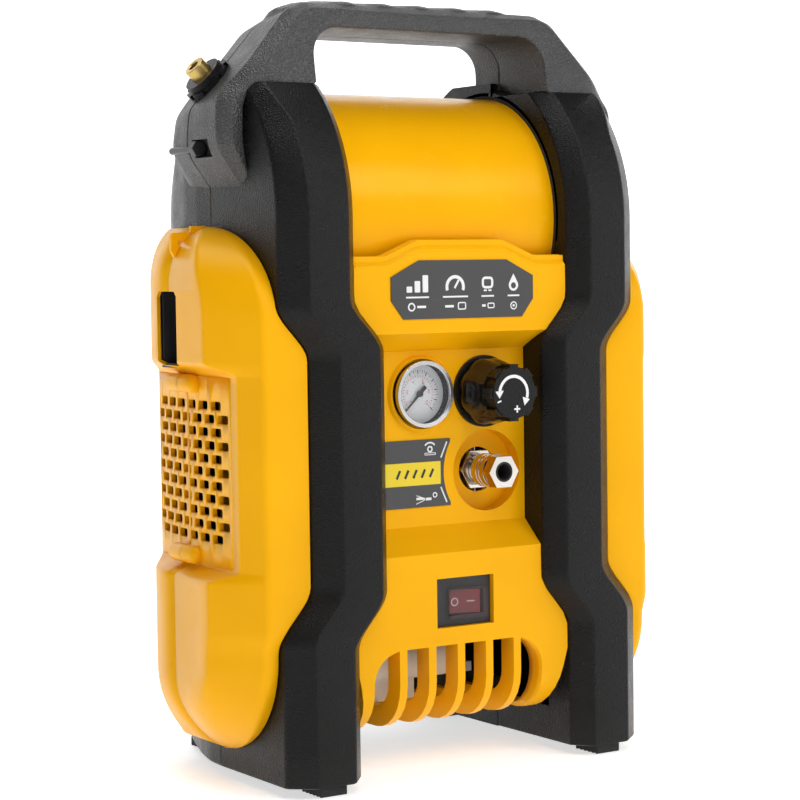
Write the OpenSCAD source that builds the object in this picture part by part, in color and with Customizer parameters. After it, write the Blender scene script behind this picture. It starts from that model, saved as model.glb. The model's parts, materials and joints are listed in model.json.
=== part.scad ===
// Upright hand-carried oil-free air compressor: a horizontal tank held under a carry handle
// by two black frame halves, with the pump, motor and controls in a moulded body below it.
// Every sub-part is drawn from one datum: X to the right, Y back from the front faces of the
// legs, Z up from the bottoms of the legs. seat() then moves the datum so that the part's
// origin is at the centre of its footprint, on the surface that it stands on.

/* [Frame] */
// Outer half width across the straight side walls
side_x = 128.7; // [126:0.1:132]
// Depth from the front faces to the rear faces of the legs
body_depth = 196; // [190:1:200]
// How far the legs step inwards beside the control panel
leg_jog = 20; // [16:0.5:22]
// Wall thickness of the mouldings
wall = 3; // [2.5:0.1:3.5]
// Height of the rubber feet below the legs
foot_h = 6; // [4:0.5:8]

/* [Handle] */
// Underside of the grip
grip_z = 443; // [438:1:445]
// Top of the finger ridges
grip_top = 465; // [463:1:467]
// Half width of the hand opening
grip_half_gap = 84; // [80:1:86]
// Front-to-back distance between finger ridges across the grip
finger_pitch = 27; // [25:0.5:29]

/* [Tank] */
// Outer radius of the tank
tank_r = 78.3; // [77:0.1:78.5]
// Height of the tank's axis
tank_z = 330; // [329:0.5:331]
// Distance of the tank's axis behind the front faces
tank_y = 102; // [101:0.5:103]
// Half length of the tank's straight shell
tank_half_l = 98; // [92:1:100]

/* [Controls] */
// Radius of the gauge bezel
gauge_r = 20.2; // [20:0.1:20.6]
// Radius of the regulator knob across its lugs
knob_r = 17.3; // [16:0.1:18]
// Inner radius of the air coupler's socket
coupler_bore_r = 5; // [4.5:0.1:5.2]
// Turn of the power rocker from off to on, in degrees
rocker_turn = 20; // [16:1:22]

/* [Pump] */
// Distance of the crank pin from the shaft axis
crank_r = 9; // [7:0.5:9]
// Radius of the cylinder bore
bore_r = 25; // [24:0.5:25]

/* [Hidden] */

$fn = 64;
gap = 0.3;
knob_front = -3.5;
mid_y = (body_depth + knob_front) / 2;
part_y = 90;
leg_z = 408;
tank_hole_r = tank_r + 2.2;

black = [0.16, 0.16, 0.17];
yellow = [0.98, 0.70, 0.06];
steel = [0.72, 0.73, 0.75];
brass = [0.80, 0.66, 0.30];
rubber = [0.07, 0.07, 0.07];
alloy = [0.78, 0.79, 0.80];
copper = [0.72, 0.42, 0.25];

// ---------------------------------------------------------------- placing helpers

module seat() {
    translate([0, -mid_y, foot_h]) children();
}

// A shape drawn around +Z, laid along +Y (towards the back), +X or -X from a point.
module along_y(x, y, z) {
    translate([x, y, z]) rotate([-90, 0, 0]) children();
}

module along_x(x, y, z) {
    translate([x, y, z]) rotate([0, 90, 0]) children();
}

module both_sides() {
    children();
    mirror([1, 0, 0]) children();
}

module box(x0, x1, y0, y1, z0, z1) {
    translate([x0, y0, z0]) cube([x1 - x0, y1 - y0, z1 - z0]);
}

module tube(r_out, r_in, h) {
    difference() {
        cylinder(r = r_out, h = h);
        translate([0, 0, -1]) cylinder(r = r_in, h = h + 2);
    }
}

// A side view (Y, Z) pushed along X from x0 to x1.
module side_view(x0, x1) {
    translate([x0, 0, 0]) rotate([90, 0, 90]) linear_extrude(x1 - x0) children();
}

// A front view (X, Z) pushed along Y from y0 to y1.
module front_view(y0, y1) {
    translate([0, y1, 0]) rotate([90, 0, 0]) linear_extrude(y1 - y0) children();
}

// ---------------------------------------------------------------- shape functions

function arc(cx, cy, r, a0, a1, n) =
    [for (i = [0:n]) [cx + r * cos(a0 + (a1 - a0) * i / n), cy + r * sin(a0 + (a1 - a0) * i / n)]];

function smooth(t) = t <= 0 ? 0 : t >= 1 ? 1 : t * t * (3 - 2 * t);

function flip(p) = [for (i = [len(p) - 1:-1:0]) p[i]];

// How far a leg's edge has stepped in at height z: out at the top and the bottom.
function step_in(z, low, high) =
    leg_jog * smooth((z - low + 17) / 34) * (1 - smooth((z - high + 16) / 32));
function inner_step(z) = step_in(z, 93, 267);
function outer_step(z) = step_in(z, 99, 263);

// The legs lean back over the tank on circles about the tank's axis.
function lean(r, z) = z <= tank_z ? 0 : r - sqrt(r * r - (z - tank_z) * (z - tank_z));
front_arc = tank_y;
rear_arc = body_depth - tank_y;

// Heights at which a leg's section is taken between two levels.
function levels(a, b, n) = [for (i = [0:n]) a + (b - a) * i / n];

// Skin through one ring of points per level. A ring is a bent strip: its first half runs along
// the outside and its second half comes back along the inside, point facing point.
module loft(rings) {
    n = len(rings[0]);
    m = len(rings);
    points = [for (r = rings) each r];
    sides = [for (j = [0:m - 2]) for (i = [0:n - 1])
        each [[j * n + i, (j + 1) * n + i, j * n + (i + 1) % n],
              [(j + 1) * n + i, (j + 1) * n + (i + 1) % n, j * n + (i + 1) % n]]];
    bottom = [for (i = [0:n / 2 - 2]) each [[i, i + 1, n - 1 - i], [i + 1, n - 2 - i, n - 1 - i]]];
    last = (m - 1) * n;
    top = [for (f = bottom) [last + f[2], last + f[1], last + f[0]]];
    polyhedron(points, concat(bottom, sides, top), convexity = 6);
}

// Front leg in plan: a flat face with a chamfer on each side, then the two side walls.
// y_in and y_side say how far back the inner and the outer wall reach.
function front_leg_ring(z, y_in, y_side) =
    let (xi = 87.6 - inner_step(z), xo = 114.2 - outer_step(z), y0 = lean(front_arc, z), w = wall)
    [for (p = [[xi - 10.3, y_in], [xi - 10.3, y0 + 12], [xi, y0], [xo, y0], [xo + 14.5, y0 + 12],
               [xo + 14.5, y_side], [xo + 14.5 - w, y_side], [xo + 14.5 - w, y0 + 13.5],
               [xo - 1.2, y0 + w], [xi + 1.2, y0 + w], [xi - 10.3 + w, y0 + 13.5],
               [xi - 10.3 + w, y_in]]) [p[0], p[1], z]];

// Rear leg in plan: the outer wall curves in towards a flat rear face, more so near the floor.
function rear_leg_path(z, inset) =
    let (y1 = body_depth - lean(rear_arc, z) - inset, d = y1 - part_y, x = side_x - inset,
         f = smooth((z - 40) / 200))
    [[x, part_y + gap], [x - 1.2 + 1.2 * f, part_y + 0.17 * d], [x - 6.5 + 5 * f, part_y + 0.35 * d],
     [x - 18 + 9 * f, part_y + 0.64 * d], [x - 31 + 7 * f, part_y + 0.93 * d], [x - 40 + 4 * f, y1]];

function rear_leg_ring(z, y_in, first) =
    let (out = rear_leg_path(z, 0), low = rear_leg_path(z, wall), y1 = out[5][1],
         xi = side_x - 51.4)
    concat([for (i = [first:5]) [out[i][0], out[i][1], z]],
           [[xi, y1, z], [xi, y_in, z], [xi + wall, y_in, z], [xi + wall, y1 - wall, z]],
           [for (i = [5:-1:first]) [low[i][0], i == first ? out[i][1] : low[i][1], z]]);

module front_leg() {
    loft([for (z = levels(0, 22, 1)) front_leg_ring(z, part_y, part_y)]);
    loft([for (z = levels(22, 104, 10)) front_leg_ring(z, 34, part_y)]);
    loft([for (z = levels(104, 258, 14)) front_leg_ring(z, 34, 26)]);
    loft([for (z = levels(258, 294, 5)) front_leg_ring(z, part_y, 26)]);
    loft([for (z = levels(294, leg_z, 13)) front_leg_ring(z, part_y, part_y)]);
}

module rear_leg() {
    back = body_depth - 16;
    loft([for (z = levels(0, 22, 1)) rear_leg_ring(z, part_y + gap, 0)]);
    loft([for (z = levels(22, 104, 3)) rear_leg_ring(z, back, 0)]);
    loft([for (z = levels(104, 258, 4)) rear_leg_ring(z, back, 2)]);
    loft([for (z = levels(258, 294, 1)) rear_leg_ring(z, part_y + gap, 2)]);
    loft([for (z = levels(294, 421, 12)) rear_leg_ring(z, part_y + gap, 0)]);
}

// ---------------------------------------------------------------- handle and shoulders

// Right half of the outline of the handle and its shoulder, seen from the front.
// The shoulder swells past the side wall as a round lobe, then slopes up to the grip.
function shoulder_edge(inset) = concat(
    arc(106, 374, 38 - inset, -50, 30, 11),
    [[136.9 - inset * 0.9, 400.2 - inset * 0.5], [118.5 - inset * 0.75, 421.3 - inset * 0.66],
     [97 - inset * 0.6, 448 - inset * 0.8]],
    arc(80, 434 - inset * 0.2, 22 - inset * 0.8, 38, 80, 4));

// Radius of the upper corners of the hand opening
hand_corner = 18;

module handle_outline(inset) {
    edge = shoulder_edge(inset);
    crown = 457.5 - inset;
    polygon(concat([[0, 380], [side_x - wall - 0.1 + inset, 345.5]], edge, [[45, crown], [0, crown + 1]]));
}

// The hand opening: flat under the grip, with round upper corners.
module hand_opening(grow) {
    w = grip_half_gap + grow;
    top = grip_z + grow;
    r = hand_corner + grow;
    translate([-w, 330]) square([2 * w, top - r - 330]);
    translate([r - w, 330]) square([2 * (w - r), top - 330]);
    for (x = [r - w, w - r]) translate([x, top - r]) circle(r = r);
}

// Space below the handle that belongs to the tank and to the inside of the legs.
module under_handle(inset) {
    x = side_x - wall;
    translate([-x, 300]) square([2 * x, leg_z + 0.8 + inset - 300]);
}

module handle_half(y0, y1, plate0, plate1) {
    difference() {
        front_view(y0, y1) difference() {
            union() {
                handle_outline(0);
                mirror([1, 0]) handle_outline(0);
            }
            hand_opening(0);
            under_handle(0);
        }
        front_view(plate0, plate1) difference() {
            union() {
                handle_outline(wall);
                mirror([1, 0]) handle_outline(wall);
            }
            hand_opening(wall);
        }
    }
}

// Raised pad along the top of the grip, with a row of shallow finger hollows.
module finger_pad(y0, y1) {
    difference() {
        front_view(y0, y1) polygon([[-96, 450], [-86, 461], [-60, grip_top], [60, grip_top],
            [86, 461], [96, 450], [88, 447], [40, 453.5], [-40, 453.5], [-88, 447]]);
        for (i = [-3:2])
            along_y((i + 0.5) * finger_pitch, y0 - 1, grip_top + 43) cylinder(r = 45, h = y1 - y0 + 2, $fn = 96);
    }
}

valve_x = -127;
valve_z = 411.5;
valve_tilt = -48.9;

// Shapes drawn around +Z, standing square on the left shoulder slope.
module on_left_slope(h) {
    translate([valve_x, part_y, valve_z]) rotate([0, valve_tilt, 0]) translate([0, 0, h]) children();
}

// Screws that clamp the shoulders: each head sits in an open groove in the lobe.
shoulder_screw_x = 141.5;
shoulder_screw_z = 372;

module frame_holes() {
    along_x(-90, tank_y, tank_z) cylinder(r = tank_hole_r, h = 180, $fn = 128);
    on_left_slope(-14) cylinder(r = 8.2, h = 30);
    for (s = [-1, 1]) {
        along_y(s * shoulder_screw_x, 60, shoulder_screw_z) cylinder(r = 5.6, h = 24);
        along_y(s * shoulder_screw_x, 80, shoulder_screw_z) cylinder(r = 2.3, h = 50);
    }
}

module below_slope() {
    front_view(0, body_depth + 4) union() {
        handle_outline(0);
        mirror([1, 0]) handle_outline(0);
        translate([-200, -10]) square([400, 412]);
    }
}

module front_frame() {
    color(black) seat() difference() {
        union() {
            both_sides() front_leg();
            both_sides() linear_extrude(wall)
                polygon([for (i = [0:5]) let (p = front_leg_ring(0, part_y, part_y)[i]) [p[0], p[1]]]);
            handle_half(38, part_y, 41, part_y + 1);
            finger_pad(50, part_y);
        }
        frame_holes();
    }
}

module rear_frame() {
    color(black) seat() difference() {
        union() {
            intersection() {
                both_sides() rear_leg();
                below_slope();
            }
            both_sides() linear_extrude(wall) polygon(concat(rear_leg_path(0, 0),
                [[side_x - 51.4, body_depth], [side_x - 51.4, part_y + gap]]));
            handle_half(part_y + gap, 118, part_y - 1, 115);
            finger_pad(part_y + gap, 112);
        }
        frame_holes();
    }
}

// ---------------------------------------------------------------- front and rear panels

panel_y = 30;
hood_y = 12.5;
low_y = 13.5;
bottom_z = 20;
curl_z = 23;
curl_r = 28;
curl_end = 75;

gauge_at = [-20.1, 224];
knob_at = [26, 224];
coupler_at = [28.3, 175];
switch_at = [3, 97];

// Side view of the front moulding, as a sheet of even thickness: the curled underside, the lower
// panel, the set-back control panel and the hood above it.
function panel_path(t) = concat(
    [[curl_end, curl_z + t], [low_y + curl_r, curl_z + t]],
    arc(low_y + curl_r, curl_z + curl_r, curl_r - t, 270, 180, 6),
    [[low_y + t, 128.5 - 0.5 * t], [panel_y + t, 143.5 - 0.5 * t], [panel_y + t, 250 + 0.6 * t],
     [hood_y + t, 261 + 0.6 * t], [hood_y + t, 313]]);

// Front view of the moulding: its edges follow the legs, and its top edge rises in the middle.
function panel_edge(z) = side_x - 51.4 - inner_step(z) - gap;

// Both lower corners draw in, the right one more, because the lower opening lies left of the middle.
module panel_outline() {
    upper = [for (z = concat(levels(62, 130, 9), levels(246, 292, 8))) [panel_edge(z), z]];
    right = concat([[66, 10], [67.5, 28], [70, 38], [74, 52]], upper);
    left = concat([[70, 10], [71, 28], [72.5, 38], [75, 52]], upper);
    top = [[76.9, 301.2], [54.5, 301.2], [31, 310.8], [-31, 310.8], [-54.5, 301.2], [-76.9, 301.2]];
    polygon(concat(right, top, [for (p = flip(left)) [-p[0], p[1]]]));
}

// Height of the lip that stands up behind the hood's top edge
lip_h = 5.6;
rib_top = 76;
rib_depth = 13;
rib_pitch = 20.9;
rib_half_w = 2.7;
opening_left = -66;
opening_right = 57;
opening_top = 72.4;
opening_r = 20;

// One rib of the lower grille, in side view: down the front, round the curl and back.
module rib_side() {
    polygon(concat([[low_y, rib_top], [low_y, curl_z + curl_r]],
        arc(low_y + curl_r, curl_z + curl_r, curl_r, 180, 270, 6), [[curl_end - 2, curl_z]],
        [[curl_end - 2, curl_z + rib_depth]],
        arc(low_y + curl_r, curl_z + curl_r, curl_r - rib_depth, 270, 180, 6),
        [[low_y + rib_depth, rib_top]]));
}

module front_panel() {
    color(yellow) seat() difference() {
        union() {
            difference() {
                intersection() {
                    side_view(-78, 78) polygon(concat(panel_path(0), flip(panel_path(wall))));
                    front_view(0, 80) panel_outline();
                }
                front_view(low_y - 5, 66) union() {
                    translate([opening_left, 5]) square([opening_right - opening_left, opening_top - opening_r - 5]);
                    translate([opening_left + opening_r, 40])
                        square([opening_right - opening_left - 2 * opening_r, opening_top - 40]);
                    for (x = [opening_left + opening_r, opening_right - opening_r])
                        translate([x, opening_top - opening_r]) circle(r = opening_r);
                }
                along_y(coupler_at[0], 20, coupler_at[1]) cylinder(r = 25, h = 20);
                box(-20.8, 20.8, 5, 19.5, 83, 113);
            }
            front_view(hood_y + 2, 23) difference() {
                translate([0, lip_h]) panel_outline();
                translate([0, -wall]) panel_outline();
                translate([-100, 0]) square([200, 285]);
            }
            for (i = [-2:2])
                side_view(rib_pitch * i - 3.6 - rib_half_w, rib_pitch * i - 3.6 + rib_half_w) rib_side();
            along_y(coupler_at[0], panel_y + 1, coupler_at[1]) tube(28, 25, 11);
            along_y(coupler_at[0], panel_y + 10, coupler_at[1]) cylinder(r = 28, h = 3);
            difference() {
                box(-23.3, 23.3, low_y + 1, 22, 80.5, 115.5);
                box(-20.8, 20.8, 5, 19.5, 83, 113);
            }
        }
        along_y(gauge_at[0], 20, gauge_at[1]) cylinder(r = gauge_r - 0.4, h = 20);
        along_y(knob_at[0], 20, knob_at[1]) cylinder(r = 10, h = 20);
        along_y(coupler_at[0], 30, coupler_at[1]) cylinder(r = 13.9, h = 20);
        box(switch_at[0] - 14.4, switch_at[0] + 14.4, 15, 30, switch_at[1] - 11.4, switch_at[1] + 11.4);
    }
}

drain_at = [30, 268];

module rear_panel() {
    color(yellow) seat() difference() {
        box(-76.9, 76.9, 180, 183, 26, 296);
        for (i = [0:9]) box(-52, 52, 170, 190, 62 + 15 * i, 68 + 15 * i);
        along_y(drain_at[0], 170, drain_at[1]) cylinder(r = 8.5, h = 20);
    }
}

module bottom_tray() {
    color(black) seat() difference() {
        union() {
            box(-76, 76, 77, 179.5, bottom_z, bottom_z + 4);
            for (x = [-76, 72]) box(x, x + 4, 77, 179.5, bottom_z, bottom_z + 14);
        }
        for (i = [-3:3]) box(14 * i - 4, 14 * i + 4, 95, 130, bottom_z - 5, bottom_z + 10);
    }
}

// ---------------------------------------------------------------- side covers

cover_low = 13.6;
cover_high = 325.4;
cover_rear = 150;

// Front edge of a cover at height z: it stays beside the leg, then rounds off as an ellipse.
function cover_front(z) =
    z > 270 ? 95 - 82 * sqrt(1 - pow((z - 270) / 56.5, 2))
    : z < 76 ? 82 - 67 * sqrt(1 - pow((76 - z) / 62.6, 2)) + 2
    : 13 + 4 * smooth((92 - z) / 16);

// How far the cover stands out from the side wall at height z, from 0 to 1.
function bulge(z) =
    z > 292 ? sqrt(1 - pow((z - 292) / 34.5, 2))
    : z < 56 ? 0.16 + 0.84 * pow((z - cover_low) / (56 - cover_low), 0.8)
    : 1;

function out_at(z, x) = side_x + gap + (x - side_x - gap) * bulge(z);

function cover_front_ring(z) =
    let (b = side_x - outer_step(z) + 2 * gap, y0 = cover_front(z), y1 = y0 - 1.5 * bulge(z),
         y2 = y0 + (part_y - y0) * 0.37, y3 = part_y - gap / 2, w = wall)
    [for (p = [[b, y0], [out_at(z, 136), y1], [out_at(z, 141), y1 + 2], [out_at(z, 159.5), y2 - 3.5],
               [out_at(z, 162), y2 + 1], [out_at(z, 158), y3],
               [out_at(z, 158) - w, y3], [out_at(z, 162) - w, y2 + 1.3], [out_at(z, 159.5) - w * 0.8, y2 - 1.2],
               [out_at(z, 141) - w * 0.5, y1 + w + 1.2], [out_at(z, 136) - w * 0.4, y1 + w], [b, y0 + w]])
     [p[0], p[1], z]];

function rear_wall_x(z) =
    let (a = rear_leg_path(z, 0)) a[3][0] + (a[2][0] - a[3][0]) * (a[3][1] - cover_rear) / (a[3][1] - a[2][1]);

function cover_rear_ring(z) =
    let (b = rear_wall_x(z) + gap, y0 = part_y + gap / 2, w = wall)
    [for (p = [[out_at(z, 158), y0], [out_at(z, 156.5), 110], [out_at(z, 150), 130], [out_at(z, 143), 140],
               [b + (out_at(z, 143) - b) * 0.5, cover_rear], [b, cover_rear + 2],
               [b, cover_rear - 1], [b + (out_at(z, 143) - b) * 0.5 - 1, cover_rear - w],
               [out_at(z, 143) - w, 138], [out_at(z, 150) - w, 129.5], [out_at(z, 156.5) - w, 109.6],
               [out_at(z, 158) - w, y0]])
     [p[0], p[1], z]];

grille_low = 123;
grille_high = 238;
row_pitch = 7.82;
hole_pitch = 12.9;

// The air grille's floor in plan, a little inside the cover's own surface.
function floor_path(t) = [[151.5 - t, 27.5], [146.8 - t, part_y], [143 - t, 135]];

module grille_holes() {
    for (i = [0:10]) for (j = [0:5 + i % 2])
        translate([45.5 + 6.45 * (1 - i % 2) + hole_pitch * j - 3.9, 221.3 - row_pitch * i - 2.6])
            square([7.8, 5.2]);
}

module grille_floor(y0, y1) {
    difference() {
        intersection() {
            translate([0, 0, grille_low]) linear_extrude(grille_high - grille_low)
                polygon(concat(floor_path(0), flip(floor_path(wall - 0.4))));
            box(0, 200, y0, y1, 0, 400);
        }
        side_view(130, 165) intersection() {
            grille_holes();
            translate([y0 + 2, 100]) square([y1 - y0 - 4, 200]);
        }
    }
    for (z = [grille_low - 2.6, grille_high]) translate([0, 0, z]) linear_extrude(2.6) intersection() {
        polygon(concat(floor_path(wall), flip([[150, 27.5], [159, 41], [155.5, part_y], [147, 131], [141, 135]])));
        translate([100, y0]) square([100, y1 - y0]);
    }
}

module grille_pocket() {
    box(130, 170, 28, 136, grille_low, grille_high);
}

module inlet_opening() {
    front = 79.5;
    back = 109;
    side_view(135, 170) polygon([[front, 246], [front + 3, 244], [back - 8, 246], [back - 1, 258],
        [back - 1, 277], [back - 8, 288], [front + 2, 288], [front, 286]]);
}

screw_x = 149;
screw_z = [131, 233];

module boss(y0, y1) {
    for (z = screw_z) along_y(screw_x, y0, z) tube(5.5, 3, y1 - y0);
}

module cover_front_half(with_inlet) {
    difference() {
        union() {
            difference() {
                loft([for (z = concat([cover_low], levels(17, 56, 5), levels(76, 280, 17), levels(292, 322, 5),
                    [cover_high])) cover_front_ring(z)]);
                grille_pocket();
            }
            grille_floor(27.5, part_y - gap / 2);
            boss(74, part_y - gap / 2);
        }
        if (with_inlet) inlet_opening();
        for (z = screw_z) along_y(screw_x, 70, z) cylinder(r = 3, h = 30);
    }
}

module cover_rear_half(with_inlet) {
    difference() {
        union() {
            difference() {
                loft([for (z = concat([cover_low], levels(17, 56, 5), levels(80, 280, 5), levels(292, 322, 5),
                    [cover_high])) cover_rear_ring(z)]);
                grille_pocket();
            }
            grille_floor(part_y + gap / 2, 135);
            boss(part_y + gap / 2, 108);
        }
        if (with_inlet) inlet_opening();
        for (z = screw_z) along_y(screw_x, 80, z) cylinder(r = 3, h = 40);
    }
}

module left_cover_front() {
    color(yellow) seat() mirror([1, 0, 0]) cover_front_half(true);
}

module left_cover_rear() {
    color(yellow) seat() mirror([1, 0, 0]) cover_rear_half(true);
}

module right_cover_front() {
    color(yellow) seat() cover_front_half(false);
}

module right_cover_rear() {
    color(yellow) seat() cover_rear_half(false);
}

// ---------------------------------------------------------------- fasteners and feet

module hex_screw(head_r, head_h, shank_r, length) {
    cylinder(r = head_r, h = head_h, $fn = 6);
    translate([0, 0, head_h]) cylinder(r = shank_r, h = length);
}

module frame_screws() {
    color(black) seat() for (s = [-1, 1])
        along_y(s * shoulder_screw_x, 78.9, shoulder_screw_z) hex_screw(5, 5, 2.2, 30);
}

module cover_screws() {
    color(steel) seat() for (s = [-1, 1]) for (z = screw_z)
        along_y(s * screw_x, 77, z) hex_screw(2.8, 3, 2.4, 26);
}

module foot(x, y) {
    difference() {
        box(x - 9, x + 9, y - 11, y + 11, -foot_h, 0);
        for (i = [-2:2]) box(x - 10, x + 10, y + 4 * i - 0.8, y + 4 * i + 0.8, -foot_h - 1, -foot_h + 1.2);
    }
}

module feet() {
    color(rubber) seat() both_sides() {
        foot(101, 15);
        foot(91, 172);
    }
}

// ---------------------------------------------------------------- tank

dome = 24;
dome_r = (tank_r * tank_r + dome * dome) / (2 * dome);
check_at = [94, 112];
sensor_at = [-55, 105];

// Half of the tank's side view: a straight shell closed by a shallow domed end.
module tank_side(inset) {
    intersection() {
        square([tank_half_l + dome - inset, tank_r - inset]);
        union() {
            square([tank_half_l, tank_r]);
            translate([tank_half_l + dome - dome_r, 0]) circle(r = dome_r - inset, $fn = 128);
        }
    }
}

module tank_body(inset) {
    for (a = [-90, 90]) translate([0, tank_y, tank_z]) rotate([0, a, 0])
        rotate_extrude($fn = 128) rotate([0, 0, 90]) mirror([0, 1]) tank_side(inset);
}

module tank() {
    color(yellow) seat() difference() {
        union() {
            difference() {
                union() {
                    tank_body(0);
                    translate([check_at[0], check_at[1], 245]) cylinder(r = 10, h = 14);
                    translate([sensor_at[0], sensor_at[1], 245]) cylinder(r = 10, h = 14);
                    along_y(drain_at[0], 140, drain_at[1]) cylinder(r = 9, h = 20);
                    on_left_slope(-36) cylinder(r = 9, h = 15.5);
                }
                tank_body(2);
            }
        }
        translate([check_at[0], check_at[1], 240]) cylinder(r = 4, h = 30);
        translate([sensor_at[0], sensor_at[1], 240]) cylinder(r = 4, h = 30);
        along_y(drain_at[0], 130, drain_at[1]) cylinder(r = 3, h = 40);
        on_left_slope(-50) cylinder(r = 4, h = 40);
    }
}

module tank_rings() {
    color(rubber) seat() for (x = [-81, 77]) along_x(x, tank_y, tank_z)
        tube(tank_hole_r - 0.1, tank_r + 0.05, 4, $fn = 128);
}

// ---------------------------------------------------------------- motor

axis_y = 112;
axis_z = 96;
shaft_r = 6;

module around_shaft(x) {
    along_x(x, axis_y, axis_z) children();
}

module stator() {
    color(steel) seat() around_shaft(-64) difference() {
        tube(44, 25.6, 46);
        for (a = [0:15:345]) rotate([0, 0, a]) translate([24, -1, -1]) cube([12, 2, 48]);
    }
    color(copper) seat() for (x = [-71.5, -17.5]) around_shaft(x) tube(38, 28, 7);
}

module motor_frame() {
    color(alloy) seat() difference() {
        union() {
            around_shaft(-78) tube(47.5, 44.1, 66);
            around_shaft(-80) cylinder(r = 47.5, h = 4);
            around_shaft(-84) cylinder(r = 14, h = 6);
            box(-66, -24, axis_y - 46, axis_y + 46, 44, 50);
        }
        around_shaft(-90) cylinder(r = 11.05, h = 30);
        for (a = [0:45:315]) around_shaft(-82) rotate([0, 0, a]) translate([30, 0, 0]) cylinder(r = 6, h = 8);
    }
}

module rotor_core() {
    color(steel) seat() around_shaft(-64) tube(25, shaft_r, 46);
}

module shaft() {
    color(steel) seat() around_shaft(-108) cylinder(r = shaft_r, h = 118);
}

module fan() {
    color(black) seat() {
        around_shaft(-106) difference() {
            cylinder(r = 13, h = 16);
            translate([0, 0, -1]) cylinder(r = shaft_r, h = 18);
        }
        for (a = [0:45:315]) around_shaft(-104) rotate([0, 0, a]) translate([12, 0, 6])
            rotate([32, 0, 0]) translate([0, -9, -0.8]) cube([36, 18, 1.6]);
    }
}

module fan_bearing() {
    color(steel) seat() around_shaft(-84) tube(11, shaft_r + 0.03, 8);
}

module crank_bearing() {
    color(steel) seat() around_shaft(-3) tube(14, shaft_r + 0.03, 10);
}

// ---------------------------------------------------------------- pump

cyl_x = 24;
deck_z = 132;
cyl_top = 196;
bolt_at = 29;

module crankcase() {
    color(alloy) seat() difference() {
        union() {
            around_shaft(-3) cylinder(r = 35.8, h = 49);
            box(-3, 46, axis_y - 34, axis_y + 34, axis_z, deck_z);
            box(6, 40, axis_y - 46, axis_y + 46, 44, 50);
            box(14, 34, axis_y - 26, axis_y + 26, 49, 64);
        }
        around_shaft(8) cylinder(r = 31, h = 40);
        around_shaft(-4) cylinder(r = 14.05, h = 11.2);
        around_shaft(6) cylinder(r = 9, h = 5);
        translate([cyl_x, axis_y, axis_z]) cylinder(r = bore_r + 1, h = 50);
    }
}

module eccentric() {
    color(steel) seat() {
        around_shaft(10) {
            cylinder(r = 17, h = 6);
            translate([12, 0, 0]) cylinder(r = 16, h = 6);
        }
        along_x(15.9, axis_y, axis_z + crank_r) cylinder(r = 5, h = 16);
    }
}

rod_end_z = axis_z + crank_r + 53;

module connecting_rod() {
    color(alloy) seat() difference() {
        union() {
            along_x(18, axis_y, axis_z + crank_r) cylinder(r = 10.5, h = 11);
            along_x(18, axis_y, rod_end_z) cylinder(r = 7, h = 11);
            box(20, 27, axis_y - 4.5, axis_y + 4.5, axis_z + crank_r + 8, rod_end_z - 5);
        }
        along_x(17, axis_y, axis_z + crank_r) cylinder(r = 5.04, h = 13);
        along_x(17, axis_y, rod_end_z) cylinder(r = 4, h = 13);
    }
}

module piston() {
    color(alloy) seat() translate([cyl_x, axis_y, 0]) difference() {
        union() {
            translate([0, 0, 170]) cylinder(r = bore_r - 0.3, h = 20);
            translate([0, 0, 190]) cylinder(r = bore_r - 3, h = 3);
            translate([0, 0, 193]) cylinder(r = bore_r - 0.3, h = 1.6);
        }
        translate([0, 0, 169]) cylinder(r = bore_r - 5, h = 17.5);
    }
}

module piston_seal() {
    color([0.35, 0.3, 0.25]) seat() translate([cyl_x, axis_y, 190]) tube(bore_r - 0.05, bore_r - 2.9, 2.9);
}

module pump_cylinder() {
    color(alloy) seat() translate([cyl_x, axis_y, 0]) difference() {
        union() {
            translate([0, 0, deck_z]) cylinder(r = bore_r + 4, h = cyl_top - deck_z);
            for (z = [deck_z + 10:8:cyl_top - 12]) translate([0, 0, z]) cylinder(r = bore_r + 10, h = 2.5);
            for (z = [deck_z, cyl_top - 5]) translate([-34, -34, z]) cube([68, 68, 5]);
        }
        translate([0, 0, deck_z - 1]) cylinder(r = bore_r, h = cyl_top - deck_z + 2);
        bolt_holes(deck_z - 1, 80);
    }
}

module bolt_holes(z, h) {
    for (x = [-bolt_at, bolt_at]) for (y = [-bolt_at, bolt_at]) translate([x, y, z]) cylinder(r = 3.2, h = h);
}

head_z = cyl_top + 4;
head_top = head_z + 18;

module valve_plate() {
    color(steel) seat() translate([cyl_x, axis_y, 0]) difference() {
        translate([-34, -34, cyl_top]) cube([68, 68, 4]);
        for (x = [-12, 12]) translate([x, 0, cyl_top - 1]) cylinder(r = 4, h = 6);
        bolt_holes(cyl_top - 1, 6);
    }
}

module cylinder_head() {
    color(alloy) seat() translate([cyl_x, axis_y, 0]) difference() {
        union() {
            translate([-34, -34, head_z]) cube([68, 68, 12]);
            for (y = [-32:8:32]) translate([-24, y - 1.2, head_z + 11]) cube([48, 2.4, 7]);
        }
        for (x = [-21, 3]) translate([x, -18, head_z - 1]) cube([18, 36, 8]);
        bolt_holes(head_z - 1, 20);
        translate([-40, 0, head_z + 5.5]) rotate([0, 90, 0]) cylinder(r = 3, h = 25);
        translate([15, 0, head_z + 5.5]) rotate([0, 90, 0]) cylinder(r = 3, h = 25);
    }
}

module head_bolts() {
    color(steel) seat() for (x = [-bolt_at, bolt_at]) for (y = [-bolt_at, bolt_at])
        translate([cyl_x + x, axis_y + y, head_z + 17]) mirror([0, 0, 1]) {
            cylinder(r = 5, h = 5, $fn = 6);
            translate([0, 0, 5]) cylinder(r = 3, h = 76);
        }
}

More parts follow.
